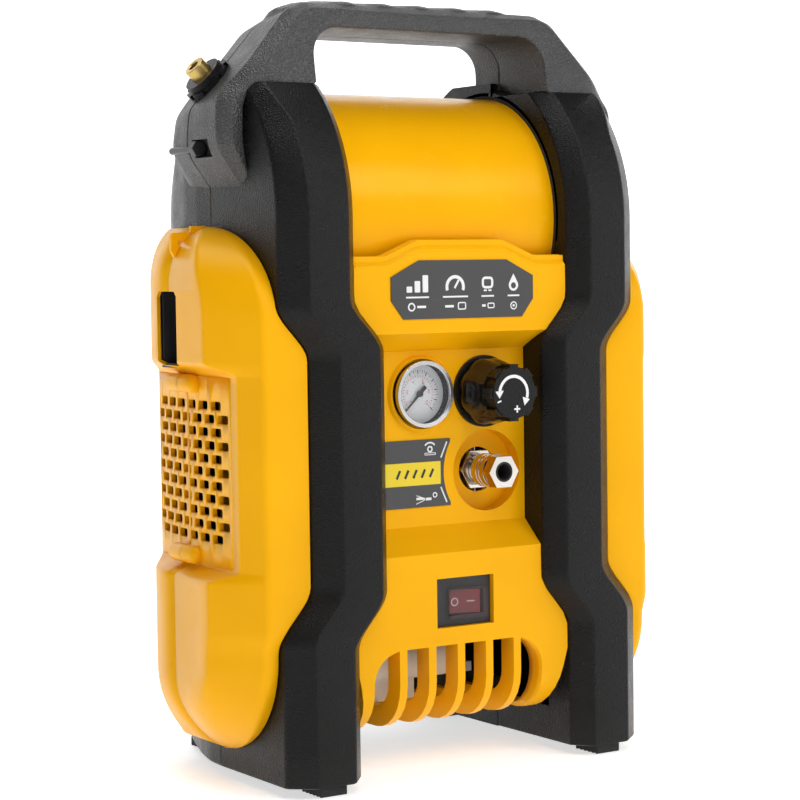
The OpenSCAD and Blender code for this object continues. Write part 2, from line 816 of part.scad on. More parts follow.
module intake_filter() {
    color(black) seat() along_x(cyl_x - 57, axis_y, head_z + 5.5) difference() {
        union() {
            cylinder(r = 13, h = 14);
            translate([0, 0, 14]) cylinder(r = 6, h = 9);
        }
        translate([0, 0, 3]) cylinder(r = 11, h = 9);
        translate([0, 0, 10]) cylinder(r = 3, h = 20);
        for (a = [0:30:330]) rotate([0, 0, a]) translate([7, 0, -1]) cylinder(r = 1.4, h = 6);
    }
}

delivery_r = 4;
delivery_bend = 14;

module delivery_tube() {
    start = cyl_x + 34;
    z = head_z + 5.5;
    corner = check_at[0] - delivery_bend;
    color(copper) seat() {
        along_x(start, axis_y, z) tube(delivery_r, 2.8, corner - start);
        translate([corner, axis_y, z + delivery_bend]) rotate([90, 0, 0]) rotate_extrude(angle = -90)
            translate([delivery_bend, 0]) difference() {
                circle(r = delivery_r);
                circle(r = 2.8);
            }
        translate([check_at[0], axis_y, z + delivery_bend]) tube(delivery_r, 2.8, 8);
    }
}

module check_valve() {
    low = head_z + 5.5 + delivery_bend + 8;
    color(brass) seat() translate([check_at[0], check_at[1], low]) difference() {
        cylinder(r = 11, h = 244.8 - low, $fn = 6);
        translate([0, 0, -1]) cylinder(r = 2.8, h = 40);
    }
}

module pump_mounts() {
    color(rubber) seat() for (x = [-45, 23]) for (s = [-1, 1])
        translate([x, axis_y + s * 29, bottom_z + 4]) cylinder(r = 7.5, h = 20);
}

// ---------------------------------------------------------------- electrical and air parts

module run_capacitor() {
    color([0.85, 0.85, 0.82]) seat() {
        along_x(-58, 54, 61) cylinder(r = 14, h = 66);
        box(-46, -17, 46, 62, curl_z + rib_depth + 0.3, 52);
    }
}

module pressure_switch() {
    color(black) seat() {
        box(-76, -36, 85, 125, 196, 234);
        translate([sensor_at[0], sensor_at[1], 233.5]) cylinder(r = 6, h = 11.3);
    }
}

module air_line() {
    r = 3;
    z = 222;
    y = 74;
    color([0.2, 0.25, 0.3]) seat() {
        along_y(-42, y, z) cylinder(r = r, h = 84.8 - y);
        translate([-42, y, z]) sphere(r = r);
        along_x(-42, y, z) cylinder(r = r, h = knob_at[0] + 42);
        translate([knob_at[0], y, z]) sphere(r = r);
        along_y(knob_at[0], 66.2, z) cylinder(r = r, h = y - 66.2);
        translate([coupler_at[0], 52, 183.3]) cylinder(r = r, h = 24.6);
    }
}

module regulator_body() {
    color(alloy) seat() difference() {
        union() {
            along_y(knob_at[0], 34, knob_at[1]) cylinder(r = 16, h = 32);
            along_y(knob_at[0], 22, knob_at[1]) cylinder(r = 9.6, h = 13);
            along_y(knob_at[0], 8, knob_at[1]) cylinder(r = 3, h = 15);
            translate([coupler_at[0], 52, 208]) cylinder(r = 6, h = 8);
        }
        along_y(knob_at[0], 40, knob_at[1]) cylinder(r = 11, h = 20);
    }
}

module regulator_nut() {
    color(black) seat() difference() {
        union() {
            along_y(knob_at[0], 27.6, knob_at[1]) cylinder(r = 22, h = 2.4);
            along_y(knob_at[0], 25.6, knob_at[1]) cylinder(r = 20, h = 2.1);
        }
        along_y(knob_at[0], 20, knob_at[1]) cylinder(r = 9.8, h = 20);
        for (a = [0:30:330]) along_y(knob_at[0], 25, knob_at[1]) rotate([0, 0, a])
            translate([18.6, -1.5, 0]) cube([4, 3, 2.4]);
    }
}

module regulator_knob() {
    color(black) seat() difference() {
        union() {
            along_y(knob_at[0], knob_front, knob_at[1]) cylinder(r = 15.6, h = 28.6);
            for (a = [0:45:315]) along_y(knob_at[0], knob_front + 0.6, knob_at[1]) rotate([0, 0, a])
                translate([knob_r - 6, -3.2, 0]) cube([6, 6.4, 9]);
        }
        along_y(knob_at[0], 12, knob_at[1]) cylinder(r = 11.5, h = 20);
        along_y(knob_at[0], 1, knob_at[1]) cylinder(r = 3.05, h = 20);
    }
}

// ---------------------------------------------------------------- pressure gauge

module at_gauge(y) {
    along_y(gauge_at[0], y, gauge_at[1]) children();
}

module gauge_case() {
    color(black) seat() difference() {
        union() {
            at_gauge(27) cylinder(r = gauge_r - 0.8, h = 24);
            at_gauge(50) cylinder(r = 6, h = 12);
        }
        at_gauge(26) cylinder(r = gauge_r - 1.8, h = 8);
        at_gauge(40) cylinder(r = 2, h = 30);
    }
}

module gauge_bezel() {
    color(steel) seat() at_gauge(23.6) difference() {
        cylinder(r = gauge_r, h = 3.4);
        translate([0, 0, -1]) cylinder(r = gauge_r - 2.6, h = 2.4);
        translate([0, 0, 1.4]) cylinder(r = gauge_r - 1.8, h = 3);
    }
}

module gauge_dial() {
    color("white") seat() at_gauge(32.4) tube(gauge_r - 2, 0.8, 1.4);
}

// The pointer lies at the zero mark, down to the left, and turns clockwise with pressure.
module gauge_pointer() {
    color("black") seat() {
        at_gauge(30.2) rotate([0, 0, 135]) linear_extrude(0.7)
            polygon([[-6, -1.3], [1, -0.8], [14.5, -0.25], [14.5, 0.25], [1, 0.8], [-6, 1.3]]);
        at_gauge(29.6) cylinder(r = 2, h = 1.4);
        at_gauge(30.4) cylinder(r = 0.7, h = 3);
    }
}

module gauge_lens() {
    color([0.9, 0.95, 1, 0.3]) seat() at_gauge(25.1) cylinder(r = gauge_r - 1.9, h = 1.3);
}

// ---------------------------------------------------------------- air coupler

coupler_front = 11.5;

module at_coupler(y) {
    along_y(coupler_at[0], y, coupler_at[1]) children();
}

module coupler_body() {
    color(steel) seat() difference() {
        union() {
            at_coupler(coupler_front) cylinder(r = 11, h = 7.5, $fn = 6);
            at_coupler(coupler_front + 7) cylinder(r = 8.2, h = 54 - coupler_front);
        }
        at_coupler(coupler_front - 1) cylinder(r = coupler_bore_r, h = 17);
        at_coupler(coupler_front + 15.9) cylinder(r = 6, h = 10);
        at_coupler(coupler_front + 20) cylinder(r = 3, h = 26);
    }
}

module coupler_sleeve() {
    color(steel) seat() at_coupler(coupler_front + 8) difference() {
        cylinder(r = 10.3, h = 13);
        translate([0, 0, -1]) cylinder(r = 8.25, h = 15);
        for (z = [4, 7]) translate([0, 0, z]) tube(11, 9.9, 1);
    }
}

module coupler_poppet() {
    color(brass) seat() {
        at_coupler(coupler_front + 16.1) cylinder(r = 5.9, h = 3);
        at_coupler(coupler_front + 19) cylinder(r = 2.4, h = 12);
    }
}

module coupler_nut() {
    color(steel) seat() difference() {
        at_coupler(38) cylinder(r = 13.4, h = 7, $fn = 6);
        at_coupler(30) cylinder(r = 8.25, h = 20);
    }
}

// ---------------------------------------------------------------- safety valve

module safety_valve_body() {
    color(brass) seat() on_left_slope(-20.3) difference() {
        cylinder(r = 6.6, h = 27);
        translate([0, 0, -1]) cylinder(r = 2.5, h = 24);
    }
}

module safety_valve_nut() {
    color(black) seat() on_left_slope(0.4) difference() {
        union() {
            cylinder(r = 15.5, h = 4);
            translate([0, 0, 3.9]) cylinder(r = 12.5, h = 4);
        }
        translate([0, 0, -1]) cylinder(r = 7, h = 12);
        for (a = [0:45:315]) rotate([0, 0, a]) translate([13.6, -2, 1.5]) cube([4, 4, 4]);
    }
}

module safety_valve_cap() {
    color(brass) seat() on_left_slope(7) difference() {
        cylinder(r = 6.8, h = 8.5);
        translate([0, 0, 2]) cylinder(r = 3.4, h = 8);
    }
}

// ---------------------------------------------------------------- power switch

rocker_y = 25;

module at_switch() {
    translate([switch_at[0], 0, switch_at[1]]) children();
}

module switch_housing() {
    color(black) seat() at_switch() difference() {
        union() {
            box(-23.4, 17.4, 17, 19.4, -13.6, 15.6);
            box(-14, 14, 19, 48, -11, 11);
        }
        box(-12.6, 12.6, 16, 31, -7.6, 7.6);
        translate([0, rocker_y, -12]) cylinder(r = 1.55, h = 24);
    }
}

module switch_rocker() {
    color("red") seat() at_switch() translate([0, rocker_y, 0]) rotate([0, 0, -rocker_turn / 2]) {
        translate([0, 0, -7.3]) linear_extrude(14.6)
            polygon([[-11, -6.5], [0, -5], [11, -6.5], [9, 2], [-9, 2]]);
        translate([0, 0, -10.8]) cylinder(r = 1.5, h = 21.6);
    }
}

module switch_cover() {
    color([0.9, 0.5, 0.5, 0.4]) seat() at_switch() difference() {
        box(-14, 14, 13.6, 16.8, -9.7, 9.7);
        box(-13.2, 13.2, 14.4, 17.5, -8.9, 8.9);
    }
}

// ---------------------------------------------------------------- mains inlet

inlet_y = 94;
inlet_z = 266.5;

module at_pins() {
    for (s = [-1, 0, 1])
        translate([-119, inlet_y + 7 * s, inlet_z + (s == 0 ? 5 : -4)]) rotate([0, -90, 0]) children();
}

module inlet_housing() {
    color(black) seat() difference() {
        box(-152.5, -118, inlet_y - 17, inlet_y + 17, inlet_z - 24, inlet_z + 24);
        box(-160, -121, inlet_y - 14.5, inlet_y + 14.5, inlet_z - 21.5, inlet_z + 21.5);
        at_pins() cylinder(r = 2.25, h = 5);
    }
}

module inlet_pins() {
    color(steel) seat() at_pins() cylinder(r = 2.2, h = 27);
}

// ---------------------------------------------------------------- labels and drain

module label_plates() {
    color([0.25, 0.25, 0.26]) seat() {
        front_view(hood_y - 0.8, hood_y) polygon([[-43.2, 269.5], [43.2, 269.5], [51.8, 280.6], [51.8, 294.6],
            [32, 304.4], [-32, 304.4], [-51.8, 294.6], [-51.8, 280.6]]);
        front_view(panel_y - 0.8, panel_y) difference() {
            translate([-56.5, 155.2]) square([57.3, 41]);
            translate([coupler_at[0] + 4.2, coupler_at[1] + 0.6]) circle(r = 36.7);
        }
    }
}

module drain_valve() {
    color(brass) seat() difference() {
        along_y(drain_at[0], 160.2, drain_at[1]) cylinder(r = 7, h = 24);
        along_y(drain_at[0], 158, drain_at[1]) cylinder(r = 2.5, h = 20);
        along_y(drain_at[0], 180, drain_at[1]) cylinder(r = 2.05, h = 8);
    }
}

module drain_knob() {
    color(black) seat() {
        along_y(drain_at[0], 184.5, drain_at[1]) cylinder(r = 7.5, h = 9);
        box(drain_at[0] - 12, drain_at[0] + 12, 187, 193, drain_at[1] - 2.5, drain_at[1] + 2.5);
        along_y(drain_at[0], 180.5, drain_at[1]) cylinder(r = 2, h = 5);
    }
}

front_frame();
rear_frame();
front_panel();
rear_panel();
left_cover_front();
left_cover_rear();
right_cover_front();
right_cover_rear();
tank();
tank_rings();
bottom_tray();
feet();
frame_screws();
cover_screws();
stator();
motor_frame();
rotor_core();
shaft();
fan();
fan_bearing();
crank_bearing();
crankcase();
eccentric();
connecting_rod();
piston();
piston_seal();
pump_cylinder();
valve_plate();
cylinder_head();
head_bolts();
intake_filter();
delivery_tube();
check_valve();
pump_mounts();
run_capacitor();
pressure_switch();
air_line();
regulator_body();
regulator_nut();
regulator_knob();
gauge_case();
gauge_bezel();
gauge_dial();
gauge_pointer();
gauge_lens();
coupler_body();
coupler_sleeve();
coupler_poppet();
coupler_nut();
safety_valve_body();
safety_valve_cap();
safety_valve_nut();
switch_housing();
switch_rocker();
switch_cover();
inlet_housing();
inlet_pins();
label_plates();
drain_valve();
drain_knob();
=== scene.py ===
import math

import bmesh
import bpy
import numpy as np
from mathutils import Matrix, Vector
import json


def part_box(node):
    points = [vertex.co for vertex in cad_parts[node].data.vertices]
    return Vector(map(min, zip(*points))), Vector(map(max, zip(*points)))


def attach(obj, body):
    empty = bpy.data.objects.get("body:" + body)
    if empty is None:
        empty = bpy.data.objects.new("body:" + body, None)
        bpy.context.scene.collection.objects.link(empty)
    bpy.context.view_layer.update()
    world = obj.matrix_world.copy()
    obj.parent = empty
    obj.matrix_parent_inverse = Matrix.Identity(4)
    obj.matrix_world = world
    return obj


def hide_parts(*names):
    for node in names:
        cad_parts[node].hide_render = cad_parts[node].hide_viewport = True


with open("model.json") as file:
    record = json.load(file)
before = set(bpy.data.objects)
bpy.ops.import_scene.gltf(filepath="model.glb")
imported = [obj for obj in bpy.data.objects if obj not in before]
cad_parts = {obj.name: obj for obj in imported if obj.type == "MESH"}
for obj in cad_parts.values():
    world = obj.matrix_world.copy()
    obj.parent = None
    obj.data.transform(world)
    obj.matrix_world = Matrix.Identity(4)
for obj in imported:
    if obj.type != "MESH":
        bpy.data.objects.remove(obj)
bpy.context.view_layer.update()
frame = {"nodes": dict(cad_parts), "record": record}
MM = 0.001
NODES = frame["nodes"]
FLOOR_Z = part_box("feet")[0].z
DATUM = Vector((0.0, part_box("front_frame")[0].y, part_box("feet")[1].z))


def at(x, y, z):
    """A point given in millimetres on the axes of the part's drawing, in the shared frame in metres."""
    return Vector((x * MM, y * MM, z * MM)) + DATUM


# ------------------------------------------------------------------ shader nodes


def new_material(name):
    mat = bpy.data.materials.new(name)
    mat.use_nodes = True
    tree = mat.node_tree
    shader = tree.nodes["Principled BSDF"]
    return mat, tree, shader


def coords(tree, scale=(1, 1, 1)):
    source = tree.nodes.new("ShaderNodeTexCoord")
    mapping = tree.nodes.new("ShaderNodeMapping")
    mapping.inputs["Scale"].default_value = scale
    tree.links.new(source.outputs["Object"], mapping.inputs["Vector"])
    return mapping.outputs["Vector"]


def noise(tree, vector, scale, detail=3):
    node = tree.nodes.new("ShaderNodeTexNoise")
    node.inputs["Scale"].default_value = scale
    node.inputs["Detail"].default_value = detail
    node.inputs["Roughness"].default_value = 0.55
    tree.links.new(vector, node.inputs["Vector"])
    return node.outputs["Fac"]


def ramp(tree, value, stops):
    node = tree.nodes.new("ShaderNodeValToRGB")
    elements = node.color_ramp.elements
    while len(elements) < len(stops):
        elements.new(0.5)
    for element, (position, colour) in zip(elements, stops):
        element.position = position
        element.color = (*colour, 1)
    tree.links.new(value, node.inputs["Fac"])
    return node.outputs["Color"]


def remap(tree, value, low, high, to_low, to_high):
    node = tree.nodes.new("ShaderNodeMapRange")
    node.inputs["From Min"].default_value = low
    node.inputs["From Max"].default_value = high
    node.inputs["To Min"].default_value = to_low
    node.inputs["To Max"].default_value = to_high
    tree.links.new(value, node.inputs["Value"])
    return node.outputs["Result"]


def bump(tree, shader, height, strength, distance, below=None):
    node = tree.nodes.new("ShaderNodeBump")
    node.inputs["Strength"].default_value = strength
    node.inputs["Distance"].default_value = distance
    tree.links.new(height, node.inputs["Height"])
    if below is not None:
        tree.links.new(below, node.inputs["Normal"])
    tree.links.new(node.outputs["Normal"], shader.inputs["Normal"])
    return node.outputs["Normal"]


def grained(name, dark, light, rough, grain_scale, grain, metallic=0.0, coat=0.0,
            stretch=(1, 1, 1), specular=0.5, tint=(1, 1, 1)):
    """A surface with a slow change of tone, an uneven sheen and a fine grain in its bump."""
    mat, tree, shader = new_material(name)
    vector = coords(tree, stretch)
    slow = noise(tree, vector, 14, 2)
    tree.links.new(ramp(tree, slow, [(0.3, dark), (0.7, light)]), shader.inputs["Base Color"])
    fine = noise(tree, vector, grain_scale, 4)
    sheen = remap(tree, noise(tree, vector, 60, 3), 0.3, 0.7, *rough)
    tree.links.new(sheen, shader.inputs["Roughness"])
    shader.inputs["Metallic"].default_value = metallic
    shader.inputs["Specular IOR Level"].default_value = specular
    shader.inputs["Specular Tint"].default_value = (*tint, 1)
    shader.inputs["Coat Weight"].default_value = coat
    shader.inputs["Coat Roughness"].default_value = 0.12
    bump(tree, shader, fine, *grain)
    return mat


def pebbled(name, colour, rough, size, strength, specular):
    """Moulded plastic with a leather-like texture of pebbles, size in mm."""
    mat, tree, shader = new_material(name)
    vector = coords(tree)
    cells = tree.nodes.new("ShaderNodeTexVoronoi")
    cells.feature = "SMOOTH_F1"
    cells.inputs["Scale"].default_value = 1000 / size
    cells.inputs["Smoothness"].default_value = 0.6
    tree.links.new(vector, cells.inputs["Vector"])
    slow = noise(tree, vector, 9, 2)
    tint = [tuple(c * f for c in colour) for f in (0.82, 1.18)]
    grain = remap(tree, cells.outputs["Distance"], 0.1, 0.7, 0.2, 2.2)
    shade = tree.nodes.new("ShaderNodeVectorMath")
    shade.operation = "SCALE"
    tree.links.new(ramp(tree, slow, [(0.3, tint[0]), (0.7, tint[1])]), shade.inputs[0])
    tree.links.new(grain, shade.inputs["Scale"])
    tree.links.new(shade.outputs["Vector"], shader.inputs["Base Color"])
    sheen = remap(tree, noise(tree, vector, 90, 3), 0.3, 0.7, *rough)
    tree.links.new(sheen, shader.inputs["Roughness"])
    shader.inputs["Specular IOR Level"].default_value = specular
    first = bump(tree, shader, cells.outputs["Distance"], strength, 0.0006)
    bump(tree, shader, noise(tree, vector, 2600, 2), strength * 0.35, 0.0002, first)
    return mat


def clear(name, colour, opacity):
    """A thin clear pane: mostly see-through, with a faint smeared sheen."""
    mat, tree, shader = new_material(name)
    shader.inputs["Base Color"].default_value = (*colour, 1)
    smear = noise(tree, coords(tree), 220, 3)
    tree.links.new(remap(tree, smear, 0.35, 0.75, 0.01, 0.05), shader.inputs["Roughness"])
    tree.links.new(remap(tree, smear, 0.2, 0.8, opacity * 0.8, opacity * 1.2), shader.inputs["Alpha"])
    return mat


YELLOW = ((0.90, 0.42, 0.0008), (0.96, 0.455, 0.001))
WARM = (1.0, 0.78, 0.25)
# Each grained surface: dark tone, light tone, range of roughness, scale of the grain, and the grain's
# strength and depth.
SURFACES = {
    "gloss_black": ((0.006, 0.005, 0.005), (0.010, 0.009, 0.008), (0.08, 0.14), 900, (0.05, 0.0001)),
    "yellow_plastic": (*YELLOW, (0.34, 0.42), 1700, (0.10, 0.00025)),
    "yellow_paint": (*YELLOW, (0.22, 0.28), 900, (0.10, 0.0003)),
    "rubber": ((0.012, 0.012, 0.012), (0.02, 0.02, 0.02), (0.7, 0.85), 700, (0.3, 0.0003)),
    "black_steel": ((0.01, 0.01, 0.01), (0.02, 0.02, 0.02), (0.3, 0.45), 900, (0.15, 0.0002)),
    "zinc_steel": ((0.50, 0.50, 0.48), (0.62, 0.62, 0.60), (0.25, 0.4), 900, (0.1, 0.0002)),
    "dark_plastic": ((0.018, 0.018, 0.019), (0.028, 0.028, 0.03), (0.45, 0.6), 1100, (0.25, 0.0003)),
    "laminated_steel": ((0.25, 0.25, 0.26), (0.42, 0.42, 0.43), (0.35, 0.5), 1400, (0.5, 0.0003)),
    "bearing_steel": ((0.55, 0.56, 0.58), (0.66, 0.67, 0.69), (0.15, 0.28), 1500, (0.08, 0.0001)),
    "cast_alloy": ((0.42, 0.43, 0.44), (0.55, 0.56, 0.57), (0.45, 0.62), 650, (0.35, 0.0004)),
    "seal_ptfe": ((0.14, 0.09, 0.05), (0.2, 0.13, 0.08), (0.4, 0.5), 900, (0.1, 0.0002)),
    "copper_tube": ((0.62, 0.27, 0.14), (0.75, 0.36, 0.2), (0.2, 0.38), 500, (0.1, 0.0002)),
    "brass": ((0.52, 0.36, 0.10), (0.68, 0.49, 0.17), (0.22, 0.36), 1200, (0.12, 0.00015)),
    "capacitor_white": ((0.62, 0.61, 0.57), (0.7, 0.69, 0.65), (0.35, 0.45), 900, (0.1, 0.0002)),
    "air_hose": ((0.02, 0.035, 0.06), (0.03, 0.05, 0.09), (0.3, 0.4), 900, (0.1, 0.0002)),
    "bezel_steel": ((0.55, 0.55, 0.56), (0.66, 0.66, 0.67), (0.18, 0.28), 1800, (0.06, 0.0001)),
    "dial_white": ((0.70, 0.71, 0.73), (0.76, 0.77, 0.79), (0.4, 0.5), 900, (0.04, 0.0001)),
    "pointer_black": ((0.008, 0.008, 0.008), (0.015, 0.015, 0.015), (0.4, 0.5), 900, (0.04, 0.0001)),
    "dial_red": ((0.55, 0.05, 0.02), (0.6, 0.07, 0.03), (0.4, 0.5), 900, (0.04, 0.0001)),
    "nickel": ((0.58, 0.54, 0.50), (0.70, 0.67, 0.63), (0.08, 0.17), 1300, (0.06, 0.0001)),
    "red_rocker": ((0.20, 0.006, 0.008), (0.26, 0.008, 0.010), (0.18, 0.26), 900, (0.05, 0.0001)),
    "pin_metal": ((0.62, 0.62, 0.60), (0.74, 0.74, 0.72), (0.12, 0.2), 900, (0.06, 0.0001)),
    "label_film": ((0.050, 0.050, 0.052), (0.058, 0.058, 0.060), (0.30, 0.38), 1300, (0.05, 0.0001)),
    "label_white": ((0.78, 0.78, 0.78), (0.84, 0.84, 0.84), (0.35, 0.42), 1300, (0.03, 0.0001)),
    "label_yellow": ((0.80, 0.60, 0.01), (0.85, 0.65, 0.015), (0.30, 0.38), 1300, (0.03, 0.0001)),
}
METALS = ("zinc_steel", "laminated_steel", "bearing_steel", "cast_alloy", "copper_tube", "brass",
          "bezel_steel", "nickel", "pin_metal")
EXTRAS = {
    "yellow_plastic": {"specular": 0.4, "tint": WARM},
    "yellow_paint": {"specular": 0.35, "tint": WARM},
    "black_steel": {"coat": 0.2},
    "red_rocker": {"coat": 0.5},
    "laminated_steel": {"stretch": (1, 0.04, 0.04)},
}
MATS = {
    # The second pebbled plastic below is the legs' black plastic with a base about seven times lighter. That
    # lighter base is painted light for the top-lit handle and grip pads; its coarser, stronger pebbles are
    # the real texture.
    "black_plastic": pebbled("black_plastic", (0.0030, 0.0030, 0.0031), (0.26, 0.36), 0.8, 0.6, 0.22),
    "pebbled_black_lit": pebbled("pebbled_black_lit", (0.022, 0.022, 0.0223), (0.36, 0.48), 0.95, 1.0, 0.68),
    "clear_lens": clear("clear_lens", (0.5, 0.52, 0.55), 0.05),
    "clear_cover": clear("clear_cover", (0.12, 0.07, 0.075), 0.16),
}
for name, surface in SURFACES.items():
    metallic = 1.0 if name in METALS else 0.0
    MATS[name] = grained(name, *surface, metallic=metallic, **EXTRAS.get(name, {}))

for sub in frame["record"]["subparts"]:
    for slot in NODES[sub["node"]].material_slots:
        slot.material = MATS[sub["material_slot"]]


# ------------------------------------------------------------------ mesh helpers


def add_modifier(obj, kind, **settings):
    mod = obj.modifiers.new(kind.lower(), kind)
    for key, value in settings.items():
        setattr(mod, key, value)
    return mod


def soften(obj, width):
    """Joins the split vertices of a CAD node, then rounds its edges."""
    add_modifier(obj, "WELD", merge_threshold=0.00001)
    add_modifier(obj, "DECIMATE", decimate_type="DISSOLVE", angle_limit=math.radians(0.6))
    add_modifier(obj, "BEVEL", width=width * MM, segments=3, limit_method="ANGLE",
                 angle_limit=math.radians(28), harden_normals=False)
    add_modifier(obj, "WEIGHTED_NORMAL", keep_sharp=False, weight=80)


def link(name, mesh, material, body="housing", smooth=True):
    obj = bpy.data.objects.new(name, mesh)
    bpy.context.scene.collection.objects.link(obj)
    mesh.materials.append(MATS[material])
    for polygon in mesh.polygons:
        polygon.use_smooth = smooth
    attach(obj, body)
    return obj


def mesh_from(name, points, faces):
    """A mesh from points in millimetres on the drawing's axes."""
    mesh = bpy.data.meshes.new(name)
    mesh.from_pydata([at(*p) for p in points], [], faces)
    mesh.validate()
    return mesh


def strip(rows, base=0, skip=None):
    """Faces between equally long rows of points, whose first point has the number base."""
    n = len(rows[0])
    faces = []
    for j in range(len(rows) - 1):
        for i in range(n - 1):
            if not (skip and skip(j, i)):
                corner = base + j * n + i
                faces.append((corner, corner + 1, corner + n + 1, corner + n))
    return faces


def mesh_of_rows(name, rows, skip=None):
    return mesh_from(name, [p for row in rows for p in row], strip(rows, 0, skip))


def tidy(mesh, sharp=35):
    """Joins doubles, makes the faces look outwards and marks the sharp edges."""
    bm = bmesh.new()
    bm.from_mesh(mesh)
    bmesh.ops.remove_doubles(bm, verts=bm.verts, dist=0.00002)
    bmesh.ops.dissolve_degenerate(bm, edges=bm.edges, dist=0.00002)
    bmesh.ops.recalc_face_normals(bm, faces=bm.faces)
    for edge in bm.edges:
        if len(edge.link_faces) == 2 and edge.calc_face_angle(0) > math.radians(sharp):
            edge.smooth = False
    bm.to_mesh(mesh)
    bm.free()


def fillet(points, radii, steps=4):
    """Rounds the inner corners of an open line of 2-D points; one radius for each inner corner."""
    out = [np.array(points[0], float)]
    for k in range(1, len(points) - 1):
        a, b, c = (np.array(points[i], float) for i in (k - 1, k, k + 1))
        u, v = a - b, c - b
        lu, lv = (max(float(np.linalg.norm(w)), 1e-6) for w in (u, v))
        u, v = u / lu, v / lv
        half = math.acos(max(-1, min(1, float(u @ v)))) / 2
        cut = min(radii[k - 1] / max(math.tan(half), 1e-6), 0.45 * lu, 0.45 * lv)
        for s in range(steps + 1):
            t = s / steps
            out.append(b + u * cut * (1 - t) ** 2 + v * cut * t ** 2)
    out.append(np.array(points[-1], float))
    return out


def smooth(t):
    """Eases from 0 to 1 as t does, and stays there outside that range."""
    t = max(0.0, min(1.0, t))
    return t * t * (3 - 2 * t)


def mix(a, b, k):
    """The point a share k of the way from a to b."""
    return tuple(p + (q - p) * k for p, q in zip(a, b))


def mirrored(rows):
    return [[(-p[0], p[1], p[2]) for p in row] for row in rows]


def both(name, row_sets, material, replaces=(), sharp=35):
    """One mesh from sets of rows, each drawn on the right and mirrored to the left."""
    points, faces = [], []
    for rows in row_sets:
        for side in (rows, mirrored(rows)):
            faces += strip(side, len(points))
            points += [p for row in side for p in row]
    mesh = mesh_from(name, points, faces)
    tidy(mesh, sharp)
    obj = link(name, mesh, material)
    for node in replaces:
        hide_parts(node)
    return obj


def prism(outline, x0, x1, along):
    """A temporary solid for cutting: a closed outline of two coordinates, stretched along x or y."""
    n = len(outline)
    if along == "x":
        points = [(x, p[0], p[1]) for x in (x0, x1) for p in outline]
    else:
        points = [(p[0], y, p[1]) for y in (x0, x1) for p in outline]
    faces = [tuple(range(n)), tuple(range(n, 2 * n))]
    faces += [(i, (i + 1) % n, n + (i + 1) % n, n + i) for i in range(n)]
    mesh = mesh_from("cutter", points, faces)
    tidy(mesh)
    cutter = bpy.data.objects.new("cutter", mesh)
    bpy.context.scene.collection.objects.link(cutter)
    return cutter


def carve(obj, cutters):
    """Applies the piece's modifiers, cuts the cutters out of it and removes them."""
    for cutter in cutters:
        add_modifier(obj, "BOOLEAN", operation="DIFFERENCE", solver="EXACT", object=cutter)
    bpy.context.view_layer.update()
    final = obj.evaluated_get(bpy.context.evaluated_depsgraph_get())
    mesh = bpy.data.meshes.new_from_object(final)
    obj.modifiers.clear()
    old = obj.data
    obj.data = mesh
    bpy.data.meshes.remove(old)
    for cutter in cutters:
        bpy.data.objects.remove(cutter)


# ------------------------------------------------------------------ shared outlines, in mm

SIDE_X = 128.7  # side faces of the legs
PART_Y = 90.0  # where the front and rear halves meet
FRONT_LIP, REAR_LIP = 89.6, 90.4  # the two edges of the gap between the halves
TANK_Y, TANK_Z = 102.0, 330.0
BACK_Y = 196.0
LEG_TOP = 409.6


def step_in(z, low, high):
    """How far the jogged front legs stand inwards at height z."""
    return 20 * smooth((z - low + 17) / 34) * (1 - smooth((z - high + 16) / 32))


def inner_step(z):
    return step_in(z, 93, 267)


def outer_step(z):
    return step_in(z, 99, 263)


def lean(radius, z):
    """How far a leg leans over the tank at height z, on a circle round the tank's middle."""
    return 0 if z <= TANK_Z else radius - math.sqrt(radius ** 2 - (z - TANK_Z) ** 2)


def heights(*parts):
    """Levels from (start, end, count) runs; each run's end starts the next."""
    out = []
    for a, b, n in parts:
        out += [a + (b - a) * i / n for i in range(n)]
    return out + [parts[-1][1]]


# ------------------------------------------------------------------ front legs


def front_leg_row(z, y_in=FRONT_LIP, y_out=FRONT_LIP, shrink=0.0):
    """A leg's outline at height z, from its inner wall's end at y_in round to its outer wall's at y_out."""
    xi = 87.6 - inner_step(z) + shrink
    side = SIDE_X - outer_step(z) - shrink
    xo = 114.2 - outer_step(z) + 7 * smooth((z - 378) / 30) - shrink
    y0 = lean(102, z) + shrink
    line = [(xi - 10.3, y_in), (xi - 10.3, y0 + 12), (xi, y0), (xo, y0), (side, y0 + 12), (side, y_out)]
    return [(p[0], p[1], z) for p in fillet(line, [4, 3, 3, 5])]


def front_leg_rows():
    """A leg from its sole upwards; a wall that a cover or the front moulding hides is left short."""
    short_in, short_out = 34, 26
    foot = ((0.0, 1.2), (0.5, 0.4), (1.5, 0.0), (22.0, 0.0))
    rows = [front_leg_row(z, shrink=shrink) for z, shrink in foot]
    rows += [front_leg_row(z, short_in) for z in heights((22.01, 60, 4), (60, 104, 22))]
    rows += [front_leg_row(z, short_in, short_out)
             for z in heights((104.01, 130, 13), (130, 235, 5), (235, 258, 10))]
    rows += [front_leg_row(z, y_out=short_out) for z in heights((258.01, 294, 18))]
    rows += [front_leg_row(z) for z in heights((294.01, 330, 4), (330, 404, 30), (404, 408, 2))]
    top = rows[-1]
    rows.append([(p[0], max(p[1], min(p[1] + 1.2, FRONT_LIP)), 409.0) for p in top])
    rows.append([(p[0] + (102 - p[0]) * 0.08, max(p[1], min(p[1] + 6, FRONT_LIP)), LEG_TOP) for p in top])
    return rows


def fan(outline, centre):
    """Rows that close an outline with a fan of triangles round one point."""
    return [outline, [centre] * len(outline)]


